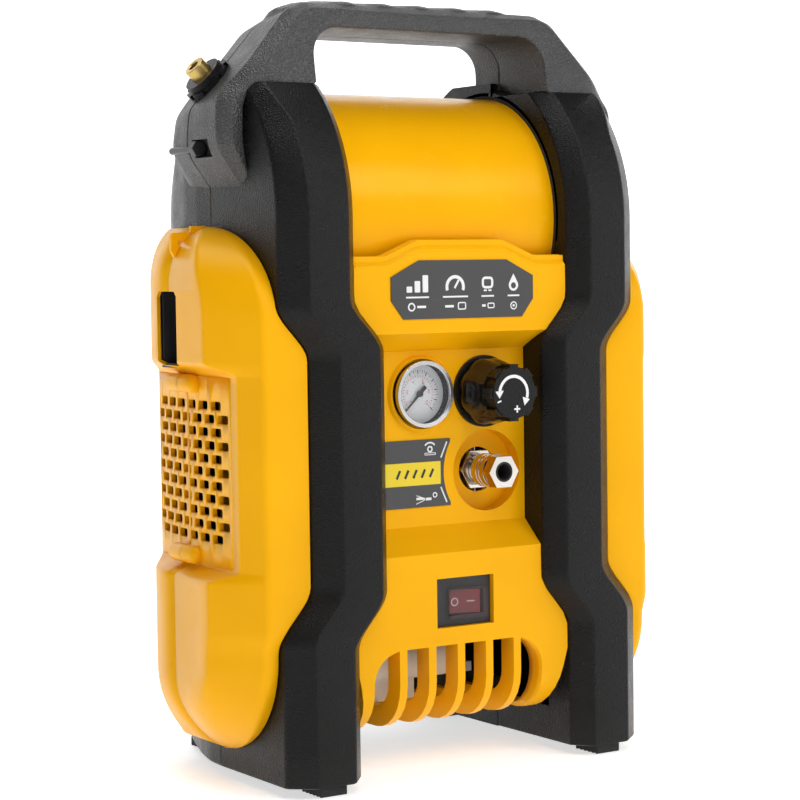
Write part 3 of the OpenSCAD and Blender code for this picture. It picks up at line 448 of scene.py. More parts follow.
def collar_rows(y_from, y_to):
    """The ring that the tank sits in, where it shows above the legs: its points from y_from to y_to."""
    section = [(77.3, 79.3), (77.3, 82.5), (78.5, 84.2), (80, 84.8), (90, 84.8)]
    rows = []
    for k in range(61):
        angle = math.radians(-10 + 200 * k / 60)
        c, s = math.cos(angle), math.sin(angle)
        if y_from <= TANK_Y - 84.5 * c <= y_to:
            rows.append([(x, TANK_Y - r * c, TANK_Z + r * s) for x, r in section])
    return rows


# ------------------------------------------------------------------ handle


def resample(points, n):
    """The line drawn with n points at equal distances."""
    points = np.array(points, float)
    seg = np.linalg.norm(np.diff(points, axis=0), axis=1)
    along = np.concatenate([[0], np.cumsum(seg)])
    want = np.linspace(0, along[-1], n)
    return [tuple(np.interp(w, along, points[:, k]) for k in (0, 1)) for w in want]


def arc(cx, cy, r, a0, a1, n):
    """Points on a circle from angle a0 to a1, in degrees, in n steps."""
    angles = [math.radians(a0 + (a1 - a0) * i / n) for i in range(n + 1)]
    return [(cx + r * math.cos(a), cy + r * math.sin(a)) for a in angles]


# Right half of the handle and its shoulder, seen from the front: the edge of the front face, the
# outer edge of the broad bevel behind it, the edge where the two halves meet, and the rear edge.
FACE_EDGE = fillet([(0, 453.4), (88.5, 454.2), (138.2, 397.6), (138.2, 374), (125, 347.5)], [20, 14, 24], 8)
SIDE_EDGE = fillet([(0, 458.3), (84, 457.8), (97, 453), (144.6, 399.6), (144.6, 372), (126.2, 346)],
                   [10, 14, 14, 24], 8)
SEAM_EDGE = fillet([(0, 458.3), (75, 458), (97.5, 445.5), (142.4, 394.5), (144.4, 370), (126.2, 346)],
                   [20, 24, 14, 24], 8)
REAR_EDGE = fillet([(0, 457.8), (70, 457.5), (93, 444), (137.5, 392.5), (141.5, 370), (124.5, 346)],
                   [24, 30, 16, 24], 8)
# The same stations on the inside: round the hand opening, along the top of the leg, then down the lobe.
STATIONS = 97
INNER_RUNS = [(36, [(0, 443), (66, 443)] + arc(66, 425, 18, 90, 45, 6)),
              (18, arc(66, 425, 18, 45, 0, 6) + [(84, 410)]),
              (8, [(84, 410), (84, 407.5), (121, 407.5)]),
              (34, [(121, 407.5), (128.3, 401), (130.4, 393.7), (130.4, 374), (128.0, 358), (124.0, 347.6)])]


def inner_edge():
    points = [INNER_RUNS[0][1][0]]
    for count, line in INNER_RUNS:
        points += resample(line, count + 1)[1:]
    return points


def front_depth(z, shoulder):
    """Depth of the front face: it slopes on the grip (shoulder 0) and is flat on the shoulders (1)."""
    return (38 + 0.16 * max(0.0, z - 408)) * (1 - shoulder) + 45 * shoulder


def handle_rows(front):
    """Closed sections along the right half of the handle, for its front or its rear half."""
    edges = [resample(edge, STATIONS) for edge in (FACE_EDGE, SIDE_EDGE, SEAM_EDGE, REAR_EDGE)]
    rows = []
    for k, (inner, face, side, seam, rear) in enumerate(zip(inner_edge(), *edges)):
        shoulder = smooth((k / (STATIONS - 1) - 0.60) / 0.12)
        near = front_depth(face[1], shoulder)
        inset = mix(seam, inner, 0.02)
        raised = mix(inner, seam, 0.02)
        if front:
            line = [(inset, 89.75), (seam, 89.3), (side, near + 8), (face, near),
                    (inner, front_depth(inner[1], shoulder)), (inner, 89.3), (raised, 89.75)]
            radii = [0.2, 2.5, 1.6, 2.2, 0.2]
        else:
            line = [(inset, 90.35), (seam, 90.8), (mix(seam, rear, 0.7), 110), (mix(rear, inner, 0.12), 118),
                    (inner, 118), (inner, 90.8), (raised, 90.35)]
            radii = [0.2, 2.5, 2.5, 3, 0.2]
        ring = fillet([(p[0], y, p[1]) for p, y in line], radii, 3)
        rows.append([tuple(float(c) for c in p) for p in ring + ring[:1]])
    middle = np.mean(np.array(rows[-1]), axis=0)
    return rows[:-1] + fan(rows[-1], tuple(float(c) for c in middle))


PAD_END = 84
HUMP_PITCH, HUMP_RADIUS = 27, 34


def pad_top(x, y):
    """Height of the pad on the grip: a row of humps that rise to the rear and run out at the ends."""
    crest = 460.6 + 0.11 * (y - 60)
    nearest = round(x / HUMP_PITCH) * HUMP_PITCH
    hump = crest + math.sqrt(HUMP_RADIUS ** 2 - (x - nearest) ** 2) - HUMP_RADIUS
    ends = float(np.interp(abs(x), [0, 55, 64.6, 75.3, PAD_END], [0, 0, 1.4, 5.2, 16]))
    return min(hump, crest - ends) if abs(x) < 3 * HUMP_PITCH else crest - ends


def pad_rows(front):
    """The raised pad along the top of the grip; each section runs back and ends inside the handle."""
    if front:
        section = [(49.6, -99), (52.5, -1.4), (57, 0), (89.3, 0), (89.7, -0.5)]
        radii = [1.5, 3.0, 0.2]
    else:
        section = [(90.4, -0.5), (90.8, 0), (104, -0.6), (110, -2.6), (113.0, -99)]
        radii = [0.2, 3.0, 1.5]
    rows = []
    for k in range(161):
        x = -PAD_END + 2 * PAD_END * k / 160
        low = 452 if abs(x) < 70 else 447
        line = [(y, max(pad_top(x, y) + drop, min(low, pad_top(x, y) - 2))) for y, drop in section]
        rows.append([(x, p[0], p[1]) for p in fillet(line, radii, 3)])
    return rows


# ------------------------------------------------------------------ rear legs


def rear_leg_row(z, y_in=REAR_LIP, first=0, shrink=0.0):
    """A leg's outline at height z; its outer wall starts at point first, its inner wall ends at y_in."""
    y1 = BACK_Y - lean(BACK_Y - TANK_Y, z) - shrink
    x = SIDE_X - shrink
    if z > 400:
        x = min(x, float(np.interp(z, [400, 421], [SIDE_X, 117])))
    d = y1 - PART_Y
    f = smooth((z - 40) / 200)
    path = [(x, REAR_LIP), (x - 1.2 + 1.2 * f, 90 + 0.17 * d), (x - 6.5 + 5 * f, 90 + 0.35 * d),
            (x - 18 + 9 * f, 90 + 0.64 * d), (x - 31 + 7 * f, 90 + 0.93 * d), (x - 40 + 4 * f, y1)]
    path = path[first:] + [(SIDE_X - 51.4, y1), (SIDE_X - 51.4, y_in)]
    radii = [60, 60, 60, 14, 6, 4][-(len(path) - 2):]
    return [(p[0], p[1], z) for p in fillet(path, radii)]


def rear_leg_rows():
    """A leg's stretches from its sole upwards, closed at both ends; hidden walls are left short."""
    short_in, late_start = 180, 2
    foot = [rear_leg_row(0.0, shrink=1.2), rear_leg_row(1.5), rear_leg_row(22)]
    lower = [rear_leg_row(z, short_in) for z in heights((22, 104, 6))]
    middle = [rear_leg_row(z, short_in, late_start) for z in heights((104, 258, 10))]
    upper = [rear_leg_row(z, first=late_start) for z in heights((258, 294, 3))]
    bend = [rear_leg_row(z) for z in heights((294, 330, 4), (330, 418, 36))]
    sole = fan(foot[0], (100, 90.6, 0.0))
    top = fan(bend[-1], (100, 100, 418.5))
    return [foot, lower, middle, upper, bend, sole, top]


front_sole = fan(front_leg_row(0.0, shrink=1.2), (100, 89.4, 0.0))
both("front_legs", [front_leg_rows(), front_sole, collar_rows(0, 89.7)], "black_plastic", ["front_frame"])
# both handle halves, here and below, take the lighter copy of the black plastic: painted light for their
# top-lit faces
front_handle = both("front_handle", [handle_rows(True)], "pebbled_black_lit", ["front_frame"], 20)
# a round pocket in each shoulder, for its screw
carve(front_handle, [prism(arc(side * 141.5, 372, 5.6, 0, 345, 23), 64, 84, "y") for side in (-1, 1)])
both("rear_legs", rear_leg_rows() + [collar_rows(90.3, 200)], "black_plastic", ["rear_frame"])
both("rear_handle", [handle_rows(False)], "pebbled_black_lit", ["rear_frame"], 20)
# tongues behind the seam of each leg, outside and inside, where no cover hides it
tongues = []
for x, top in ((125.5, 40), (79.0, 21)):
    outline = [(x + 0.8, 85), (x + 0.8, 95), (x - 0.8, 95), (x - 0.8, 85), (x + 0.8, 85)]
    rings = [[(px, py, z) for px, py in outline] for z in (1.5, top)]
    caps = [[(x, PART_Y, z)] * len(outline) for z in (1.5, top)]
    tongues.append([caps[0], *rings, caps[1]])
both("seam_tongues", tongues, "black_plastic")
# the grip pads take the same lighter copy of the black plastic: painted light
for name, front in (("front_grip_pad", True), ("rear_grip_pad", False)):
    mesh = mesh_of_rows(name, pad_rows(front))
    tidy(mesh)
    link(name, mesh, "pebbled_black_lit")


# ------------------------------------------------------------------ side covers

COVER_LOW, COVER_HIGH = 13.6, 325.4
FLOOR_FRONT, FLOOR_REAR = 27.5, 147.0  # depths between which the grille's floor is let in
WINDOW_LOW, WINDOW_HIGH = 126.5, 238  # heights of the grille plates


def cover_front(z):
    """Depth of the cover's front edge at height z."""
    if z > 270:
        return 95 - 82 * math.sqrt(max(0.0, 1 - ((z - 270) / 56.5) ** 2))
    if z < 76:
        return 84 - 67 * math.sqrt(max(0.0, 1 - ((76 - z) / 62.6) ** 2))
    return 13 + 4 * smooth((92 - z) / 16)


def bulge(z):
    """1 where the cover stands out fully, less towards its rounded top and bottom."""
    if z > 292:
        return math.sqrt(max(0.0, 1 - ((z - 292) / 34.5) ** 2))
    if z < 60:
        return 1 - 0.97 * ((60 - z) / (60 - COVER_LOW)) ** 2.15
    return 1.0


def out_at(z, x):
    """How far out a point of the cover is at height z, if it is at x where the cover stands out fully."""
    return SIDE_X + 0.3 + (x - SIDE_X - 0.3) * bulge(z)


def sunk(z):
    """1 where the grille's floor is let into the cover, 0 above and below it."""
    return smooth((z - 119) / 7) * (1 - smooth((z - 238) / 9))


def floor_x(y):
    """How far out the grille's floor stands: it bows outwards and turns in towards the rear."""
    return 146.8 - 0.105 * (y - PART_Y) - 0.0014 * (y - PART_Y) ** 2


def cover_front_row(z):
    """The front cover half at height z, from the leg outwards and back to the seam."""
    b = SIDE_X - outer_step(z) + 0.4
    y0 = cover_front(z)
    y1 = y0 - 1.5 * bulge(z)
    low = smooth((70 - z) / 32)
    y2 = y0 + (PART_Y - y0) * (0.37 + 0.12 * low)
    k = sunk(z)
    facet = mix((out_at(z, 162), y2), (floor_x(FLOOR_FRONT), FLOOR_FRONT), k)
    join = mix((out_at(z, 162), y2), (out_at(z, 158), 90), 0.1 + 0.45 * low)
    join = mix(join, (floor_x(34), 34), k)
    back = mix((out_at(z, 158), 89.8), (floor_x(89.8), 89.8), k)
    line = [(b, min(y0 + 2.5, 89)), (b, y0), (out_at(z, 138.5), y1), facet, back]
    ring = fillet(line, [0.8, 6.0 + 12 * low, 5.0 * (1 - k) + 1.2 * k + 22 * low], 5)
    return [(p[0], p[1], z) for p in ring[:-1] + [np.array(join), ring[-1]]]


def rear_wall_x(z):
    """Where the rear leg's side is, at the depth of the cover's rear edge."""
    y1 = BACK_Y - lean(BACK_Y - TANK_Y, z)
    d = y1 - PART_Y
    f = smooth((z - 40) / 200)
    ys = [90, 90 + 0.17 * d, 90 + 0.35 * d, 90 + 0.64 * d, 90 + 0.93 * d]
    xs = [SIDE_X, SIDE_X - 1.2 + 1.2 * f, SIDE_X - 6.5 + 5 * f, SIDE_X - 18 + 9 * f, SIDE_X - 31 + 7 * f]
    return float(np.interp(150, ys, xs))


def cover_rear_row(z):
    """The rear cover half at height z, from the seam back and in to the leg."""
    b = rear_wall_x(z) + 0.3
    k = sunk(z)
    front = mix((out_at(z, 158), 90.2), (floor_x(90.2), 90.2), k)
    mid = mix((out_at(z, 156), 112), (floor_x(112), 112), k)
    end = mix((out_at(z, 149), 132), (floor_x(FLOOR_REAR), FLOOR_REAR), k)
    back = mix(mix((out_at(z, 143), 140), (b, 150), 0.12), (floor_x(FLOOR_REAR) - 3, 149.6), k)
    line = [front, mid, end, back, (b, 152)]
    return [(p[0], p[1], z) for p in fillet(line, [40 * (1 - k) + 200 * k, 14 * (1 - k) + 1.5 * k, 8], 5)]


def shell(name, rows, side, node, y0, y1):
    """A cover's skin, open between depths y0 and y1 for the grille plate, and thickened inwards."""
    def in_window(j, i):
        ys = [row[k][1] for row in (rows[j], rows[j + 1]) for k in (i, i + 1)]
        low, high = rows[j][i][2], rows[j + 1][i][2]
        return (min(ys) > y0 - 0.6 and max(ys) < y1 + 0.6
                and low > WINDOW_LOW - 0.1 and high < WINDOW_HIGH + 0.1)

    mesh = mesh_of_rows(name, mirrored(rows) if side < 0 else rows, in_window)
    tidy(mesh)
    obj = link(name, mesh, "yellow_plastic")
    add_modifier(obj, "SOLIDIFY", thickness=2.2 * MM, offset=-1.0)
    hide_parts(node)


COVER_LEVELS = heights((COVER_LOW, 17, 4), (17, 56, 16), (56, 76, 6), (76, 92, 8), (92, 119, 8),
                       (119, WINDOW_LOW, 8), (WINDOW_LOW, WINDOW_HIGH, 30), (WINDOW_HIGH, 247, 9),
                       (247, 270, 10), (270, 292, 8), (292, 318, 16), (318, COVER_HIGH, 8),
                       (COVER_HIGH, 326.3, 2))


def rounded_slot(y0, y1, z0, z1, r):
    """A rectangle with round corners, as a closed loop."""
    corners = [(y1 - r, z1 - r, 0), (y0 + r, z1 - r, 90), (y0 + r, z0 + r, 180), (y1 - r, z0 + r, 270)]
    return [p for cy, cz, a in corners for p in arc(cy, cz, r, a, a + 90, 3)]


def circle(cx, cz, r, n):
    angles = [2 * math.pi * k / n for k in range(n)]
    return [(cx + r * math.cos(a), cz + r * math.sin(a)) for a in angles]


def flat(name, material, loops, y, thickness, body="housing", place=None):
    """A thin shape seen from the front, with holes where loops lie inside others.

    Its back is at depth y; place moves its points from a body's own axes to the drawing's."""
    bm = bmesh.new()
    for loop in loops:
        points = [(x, y - thickness, z) for x, z in loop]
        if place:
            points = [place(*p) for p in points]
        verts = [bm.verts.new(at(*p)) for p in points]
        for i in range(len(verts)):
            bm.edges.new((verts[i], verts[(i + 1) % len(verts)]))
    bmesh.ops.triangle_fill(bm, use_beauty=True, use_dissolve=False, edges=bm.edges)
    bmesh.ops.recalc_face_normals(bm, faces=bm.faces)
    if sum(f.normal.y for f in bm.faces) > 0:
        bmesh.ops.reverse_faces(bm, faces=bm.faces)
    mesh = bpy.data.meshes.new(name)
    bm.to_mesh(mesh)
    bm.free()
    obj = link(name, mesh, material, body, smooth=False)
    add_modifier(obj, "SOLIDIFY", thickness=thickness * MM, offset=-1.0)


SLOT_ROWS = 11
SLOT_ROW_PITCH, SLOT_PITCH = 7.82, 16.2
TOP_SLOT_Z, FIRST_SLOT_Y = 221.3, 43.6
SLOT_HALF_LENGTH, SLOT_HALF_HEIGHT = 6.1, 2.6


def grille_plate(name, side, y0, y1):
    """The perforated floor of the grille: staggered rows of slots in a thin bowed plate."""
    steps = 12
    depths = [y0 + (y1 - y0) * i / steps for i in range(steps + 1)]
    rows = [[(side * floor_x(y), y, z) for y in depths] for z in (WINDOW_LOW, WINDOW_HIGH)]
    mesh = mesh_of_rows(name, rows)
    if sum(polygon.normal.x for polygon in mesh.polygons) * side < 0:
        mesh.flip_normals()
    plate = link(name, mesh, "yellow_plastic")
    add_modifier(plate, "SOLIDIFY", thickness=3.0 * MM, offset=-1.0)
    cutters = []
    for row in range(SLOT_ROWS):
        z = TOP_SLOT_Z - SLOT_ROW_PITCH * row
        odd = row % 2
        for k in range(6 + odd):
            y = FIRST_SLOT_Y + SLOT_PITCH / 2 * (1 - odd) + SLOT_PITCH * k
            a, b = max(y - SLOT_HALF_LENGTH, y0 + 0.9), min(y + SLOT_HALF_LENGTH, y1 - 1.2)
            if b - a > 1.4:
                corner = min(1.5, (b - a) / 2.2)
                slot = rounded_slot(a, b, z - SLOT_HALF_HEIGHT, z + SLOT_HALF_HEIGHT, corner)
                cutters.append(prism(slot, side * 128, side * 160, "x"))
    carve(plate, cutters)


def lathe(name, material, origin, profile, body="housing", steps=48, sharp=30, ripple=None):
    """A piece turned round an axis that points back from origin.

    profile is (radius, distance along the axis) in mm; ripple changes the radius round the turn."""
    turn = Vector((0, 0, 1)).rotation_difference(Vector((0, 1, 0))).to_matrix()
    points, faces = [], []
    n = len(profile)
    for k in range(steps):
        a = 2 * math.pi * k / steps
        grow = ripple(k / steps) if ripple else 0.0
        for r, h in profile:
            spoke = Vector(((r + grow) * math.cos(a), (r + grow) * math.sin(a), h))
            points.append(tuple(Vector(origin) + turn @ spoke))
    for k in range(steps):
        this, after = k * n, ((k + 1) % steps) * n
        for j in range(n - 1):
            faces.append((this + j, after + j, after + j + 1, this + j + 1))
    mesh = mesh_from(name, points, faces)
    tidy(mesh, sharp)
    link(name, mesh, material, body)


COVER_ROWS = {"front": [cover_front_row(z) for z in COVER_LEVELS],
              "rear": [cover_rear_row(z) for z in COVER_LEVELS]}
# depths between which each half of a cover is open for its grille plate
WINDOWS = {"front": (34.0, 89.8), "rear": (90.2, FLOOR_REAR - 1)}
INLET_OPENING = [(82.5, 244), (106, 244), (109, 247), (109, 285), (106, 288), (82.5, 288), (79.5, 285),
                 (79.5, 247)]
EAR = [(144.8, 323), (156, 322.6), (157.2, 320.5), (157.2, 311.5), (151.5, 303), (144.8, 300)]
NUB = [(133.5, 318), (144, 318), (144, 326.6), (133.5, 326.6)]
BOSS_HEAD = [(0, -0.2), (2.0, 0), (3.6, 0.8), (4.9, 2.4), (5.5, 4.6), (5.5, 15.8)]
BOSS_TAIL = [(5.5, 16.2), (5.5, 30), (4.6, 32.2), (2.6, 33.6), (0, 34)]


for side, tag in ((-1, "left"), (1, "right")):
    for half, rows in COVER_ROWS.items():
        shell(f"{tag}_cover_skin_{half}", rows, side, f"{tag}_cover_{half}", *WINDOWS[half])
    for half, (y0, y1) in WINDOWS.items():
        grille_plate(f"{tag}_grille_{half}", side, y0, y1)
    if side < 0:
        for skin in ("left_cover_skin_front", "left_cover_skin_rear"):
            carve(bpy.data.objects[skin], [prism(INLET_OPENING, -175, -128, "x")])
    loops = [[(side * x, z) for x, z in loop] for loop in (EAR, NUB, circle(151, 316.7, 1.9, 16))]
    flat(tag + "_cover_ears", "yellow_plastic", loops, FRONT_LIP, 2.6)
    for z in (131.5, 233.5):
        for half, profile in (("front", BOSS_HEAD), ("rear", BOSS_TAIL)):
            lathe(f"{tag}_boss_{half}_{int(z)}", "yellow_plastic", (side * 148.6, 74, z), profile, steps=28)

# ------------------------------------------------------------------ hood lip, printed marks and dial


def bar(x0, z0, x1, z1, width):
    """A thick straight line as a closed loop."""
    run = np.array([x1 - x0, z1 - z0], float)
    across = np.array([-run[1], run[0]]) / np.linalg.norm(run) * width / 2
    a, b = np.array([x0, z0]), np.array([x1, z1])
    return [tuple(p) for p in (a - across, b - across, b + across, a + across)]


def band(cx, cz, r, width, a0, a1, n=24):
    """A thick arc as a closed loop."""
    return arc(cx, cz, r + width / 2, a0, a1, n) + arc(cx, cz, r - width / 2, a1, a0, n)


def frame_loops(x0, x1, z0, z1, r, width):
    outer = rounded_slot(x0, x1, z0, z1, r)
    inner = rounded_slot(x0 + width, x1 - width, z0 + width, z1 - width, max(0.2, r - width))
    return [outer, inner]


SEGMENTS = {"0": "abcdef", "2": "abged", "4": "fgbc", "6": "afgedc", "8": "abcdefg", "1": "bc"}


def digit(sign, x, z, h):
    """Strokes of one plain figure for the dial, x and z being its middle."""
    w, t = h * 0.26, h * 0.16
    ends = {"a": (-w, h / 2, w, h / 2), "g": (-w, 0, w, 0), "d": (-w, -h / 2, w, -h / 2),
            "f": (-w, t, -w, h / 2 - t), "e": (-w, t - h / 2, -w, -t), "b": (w, t, w, h / 2 - t),
            "c": (w, t - h / 2, w, -t)}
    return [bar(x + ends[s][0], z + ends[s][1], x + ends[s][2], z + ends[s][3], t) for s in SEGMENTS[sign]]


lip_corners = [(-76.6, 301.2), (-54.5, 301.2), (-31, 310.8), (31, 310.8), (54.5, 301.2), (76.6, 301.2)]
lip_path = resample(fillet(lip_corners, [12, 12, 12, 12], 6), 90)
lip_section = [(12.36, -0.8), (12.38, 0.1), (17.3, 5.4), (18.3, 6.0), (22.9, 6.0)]
lip_rows = [[(x, p[0], z + p[1]) for p in fillet(lip_section, [0.4, 0.6, 0.5], 3)] for x, z in lip_path]
lip_mesh = mesh_of_rows("hood_lip", lip_rows)
tidy(lip_mesh, 50)
link("hood_lip", lip_mesh, "yellow_plastic")

def panel_front(z):
    """Depth of the lower panel's front, which curls under at the bottom."""
    return 13.5 if z >= 51 else 41.5 - math.sqrt(28 ** 2 - (51 - z) ** 2)


# the rims that line both ends of the lower opening, as deep as its ribs
for tag, sign, end_x in (("left", -1, 66), ("right", 1, 57)):
    path = [(end_x, 25 + 3 * k) for k in range(10)] + arc(end_x - 20, 52.4, 20, 0, 84, 8)
    rim_rows = [[(sign * x + sign * 0.3, panel_front(z) + d, z) for d in (0.8, 4, 8, 12.6)] for x, z in path]
    rim_mesh = mesh_of_rows(tag + "_opening_rim", rim_rows)
    tidy(rim_mesh)
    rim = link(tag + "_opening_rim", rim_mesh, "yellow_plastic")
    add_modifier(rim, "SOLIDIFY", thickness=1.6 * MM, offset=0.0)

GAUGE_X, GAUGE_Z = -20.1, 224.0
KNOB_X, KNOB_Z = 26.0, 224.0
ring = [(20.7, 31), (20.7, 28.9), (21.3, 28.1), (22.3, 28.2), (23.3, 29.4), (24.0, 30.2)]
lathe("gauge_surround", "yellow_plastic", (GAUGE_X, 0, GAUGE_Z), ring, steps=72)

# white marks on the hood's plate: four pictograms over four lines, with four small ones below
hood_plate_y = 11.7
line_z, lower_z = 282.5, 276.8
lines = ((-41.4, -25.2), (-15.1, 3.1), (13.0, 22.2), (32.5, 41.2))
columns = ((-41.0, 3.6), (-35.3, 6.8), (-29.6, 10.2))
marks = [bar(a, line_z, b, line_z, 1.0) for a, b in lines]
marks += [rounded_slot(x, x + 3.9, 285.4, 285.4 + h, 0.5) for x, h in columns]
marks += [band(-6.2, 288.4, 6.0, 2.0, -20, 200), bar(-6.6, 287.6, -3.6, 292.4, 1.3)]
marks += frame_loops(13.4, 21.8, 287.0, 294.2, 2.4, 1.5)
marks += [bar(x, 285.9, x + 2.2, 285.9, 1.0) for x in (14.8, 18.2)]
drop = [(36.9, 295.8)] + arc(36.9, 288.8, 3.5, 25, -205, 18)
marks += [drop, circle(36.9, 288.6, 1.9, 18)]
marks += [circle(-37.6, lower_z, 2.6, 24), circle(-37.6, lower_z, 1.7, 20)]
marks += [bar(-33.6, lower_z, -27.4, lower_z, 1.4)]
marks += [bar(-13.6, lower_z, -7.4, lower_z, 1.4), *frame_loops(-4.4, 1.6, 274.6, 279.2, 1.2, 0.7)]
marks += [bar(13.4, lower_z, 16.0, lower_z, 1.4), *frame_loops(17.4, 22.6, 275.0, 278.4, 1.0, 0.7)]
marks += [circle(36.9, 276.4, 2.5, 24), circle(36.9, 276.4, 1.8, 20), circle(36.9, 276.4, 0.8, 12)]
flat("hood_plate_marks", "label_white", marks, hood_plate_y, 0.15)

# the lower plate: a yellow middle strip, white edge lines and two small pictograms
panel_plate_y = 29.2
yellow_strip = [(-56.4, 168.7), (-6.6, 168.7), (-6.6, 182.6), (-56.4, 182.6)]
flat("panel_plate_strip", "label_yellow", [yellow_strip], panel_plate_y, 0.12)
marks = [bar(-1.8, 194.2, -6.3, 184.6, 0.9), bar(-6.5, 166.7, -2.2, 157.2, 0.9)]
marks += [band(-14.2, 189.6, 4.6, 0.9, 40, 140, 12)]
marks += [circle(-14.2, 190.2, 2.0, 20), circle(-14.2, 190.2, 1.1, 16)]
marks += frame_loops(-18.2, -10.0, 186.6, 188.1, 0.5, 0.4)
marks += [bar(-24.6, z, -18.2, 160.0 + (z - 160) * 0.15, 0.45) for z in (157.4, 160.0, 162.6)]
marks += [bar(-17.6, 160.0, -13.6, 160.0, 1.6), circle(-10.9, 162.2, 1.7, 18), circle(-10.9, 162.2, 1.0, 14)]
flat("panel_plate_marks", "label_white", marks, panel_plate_y, 0.15)
slants = [bar(-38.5 + 6 * k, 173.2, -36 + 6 * k, 178.2, 1.6) for k in range(5)]
flat("panel_strip_marks", "gloss_black", slants, panel_plate_y - 0.12, 0.1)

# dial: black ticks over three quarters of a turn, red ones inside them, and plain figures
dial_y = 32.4


def on_dial(k, count, radius):
    """The point at step k of count, from zero clockwise over three quarters of a turn."""
    a = math.radians(225 - 270 * k / count)
    return GAUGE_X + radius * math.cos(a), GAUGE_Z + radius * math.sin(a)


def tick(k, count, inner, outer, width):
    return bar(*on_dial(k, count, inner), *on_dial(k, count, outer), width)


ticks = []
for k in range(41):
    if k % 4 == 0:
        ticks.append(tick(k, 40, 12.0, 14.4, 0.55))
    else:
        ticks.append(tick(k, 40, 13.0 if k % 2 == 0 else 13.7, 14.4, 0.3))
fine = [tick(k, 28, 10.0, 11.2, 0.32) for k in range(29)]
figures = []
for k, text in enumerate(("0", "2", "4", "6", "8", "10")):
    x, z = on_dial(k, 5, 7.9)
    for i, sign in enumerate(text):
        figures += digit(sign, x + (i - (len(text) - 1) / 2) * 1.7, z, 2.1)
flat("dial_ticks", "pointer_black", ticks, dial_y, 0.08)
flat("dial_fine_ticks", "dial_red", fine, dial_y, 0.08)
flat("dial_figures", "dial_red", figures, dial_y, 0.08)

# knob: a glossy fluted skirt behind the lugged cap, and the marks on the cap
def flute(turn_part):
    return -0.9 * abs(math.cos(8 * math.pi * turn_part)) ** 3


skirt = [(16.2, 24.6), (20.6, 24.6), (21.0, 23.8), (20.7, 21.5), (17.2, 6.4), (16.9, 5.9), (15.7, 5.9)]
lathe("knob_skirt", "gloss_black", (KNOB_X, 0, KNOB_Z), skirt, "knob", 128, 50, flute)
cap_y = -3.5
arrow = band(KNOB_X - 0.8, KNOB_Z - 0.3, 10.3, 1.9, 171, -17, 40)
heads = [[(11.7, 225.2), (17.7, 225.5), (14.7, 221.0)], [(31.9, 221.4), (37.2, 219.8), (33.2, 216.0)]]
minus = bar(13.3, 218.6, 16.0, 219.5, 0.9)
plus = [(25.6, 213.6), (27.2, 213.6), (27.2, 212.0), (28.3, 212.0), (28.3, 213.6), (29.9, 213.6),
        (29.9, 214.7), (28.3, 214.7), (28.3, 216.3), (27.2, 216.3), (27.2, 214.7), (25.6, 214.7)]
marks = [arrow, minus, plus, *heads]
flat("knob_marks", "label_white", marks, cap_y, 0.12, "knob")

# switch: a ring and a bar on the rocker's two faces, which stand in its slanted resting place
SWITCH_X, SWITCH_Y, SWITCH_Z = 3.0, 25.0, 97.0


def on_rocker(x, y, z):
    """From the rocker's own axes, y measured from its face, to the drawing's."""
    a = math.radians(-10)
    y += -6.5 + (11 - abs(x)) * 1.5 / 11
    turned_x = x * math.cos(a) - y * math.sin(a)
    turned_y = x * math.sin(a) + y * math.cos(a)
    return SWITCH_X + turned_x, SWITCH_Y + turned_y, SWITCH_Z + z


marks = [circle(-5.6, 0, 2.5, 28), circle(-5.6, 0, 1.95, 28), bar(2.6, 0, 7.6, 0, 0.6)]
flat("rocker_marks", "label_white", marks, 0, 0.08, "rocker", on_rocker)

# coupler: a dark seal in the mouth of the socket
liner = [(6.2, 11.35), (4.95, 11.3), (4.85, 12.2), (4.85, 27.4)]
lathe("coupler_seal", "rubber", (28.3, 0, 175), liner, steps=40)

# ------------------------------------------------------------------ edges of the CAD pieces

# radius in mm of each node's edges
ROUND = {"front_panel": 1.0, "rear_panel": 0.8, "bottom_tray": 0.6, "feet": 0.8, "regulator_nut": 0.4,
         "regulator_knob": 0.5, "gauge_bezel": 0.5, "coupler_body": 0.5, "coupler_sleeve": 0.35,
         "coupler_nut": 0.4, "safety_valve_body": 0.3, "safety_valve_cap": 0.5, "safety_valve_nut": 0.5,
         "switch_housing": 0.5, "switch_rocker": 0.5, "switch_cover": 0.4, "inlet_housing": 0.6,
         "inlet_pins": 0.5, "label_plates": 0.15, "drain_valve": 0.3, "drain_knob": 0.6,
         "frame_screws": 0.4, "cover_screws": 0.3, "crankcase": 0.8, "pump_cylinder": 0.4,
         "cylinder_head": 0.6, "run_capacitor": 1.0, "pressure_switch": 1.0, "motor_frame": 0.5}
for name, width in ROUND.items():
    soften(NODES[name], width)

# ------------------------------------------------------------------ floor, light and camera

floor_mat, floor_tree, floor_shader = new_material("studio_floor")
floor_shader.inputs["Roughness"].default_value = 0.7
clouds = noise(floor_tree, coords(floor_tree), 3, 2)
tone = ramp(floor_tree, clouds, [(0.3, (0.86, 0.86, 0.86)), (0.7, (0.90, 0.90, 0.90))])
floor_tree.links.new(tone, floor_shader.inputs["Base Color"])
floor_shader.inputs["Emission Color"].default_value = (1, 1, 1, 1)
# the floor glows more the further it is from the object, so that it fades into the background
distance = floor_tree.nodes.new("ShaderNodeVectorMath")
distance.operation = "LENGTH"
floor_tree.links.new(coords(floor_tree), distance.inputs[0])
glow = remap(floor_tree, distance.outputs["Value"], 0.35, 2.2, 0.62, 0.97)
floor_tree.links.new(glow, floor_shader.inputs["Emission Strength"])
grit = noise(floor_tree, coords(floor_tree), 400, 2)
bump(floor_tree, floor_shader, grit, 0.05, 0.0003)


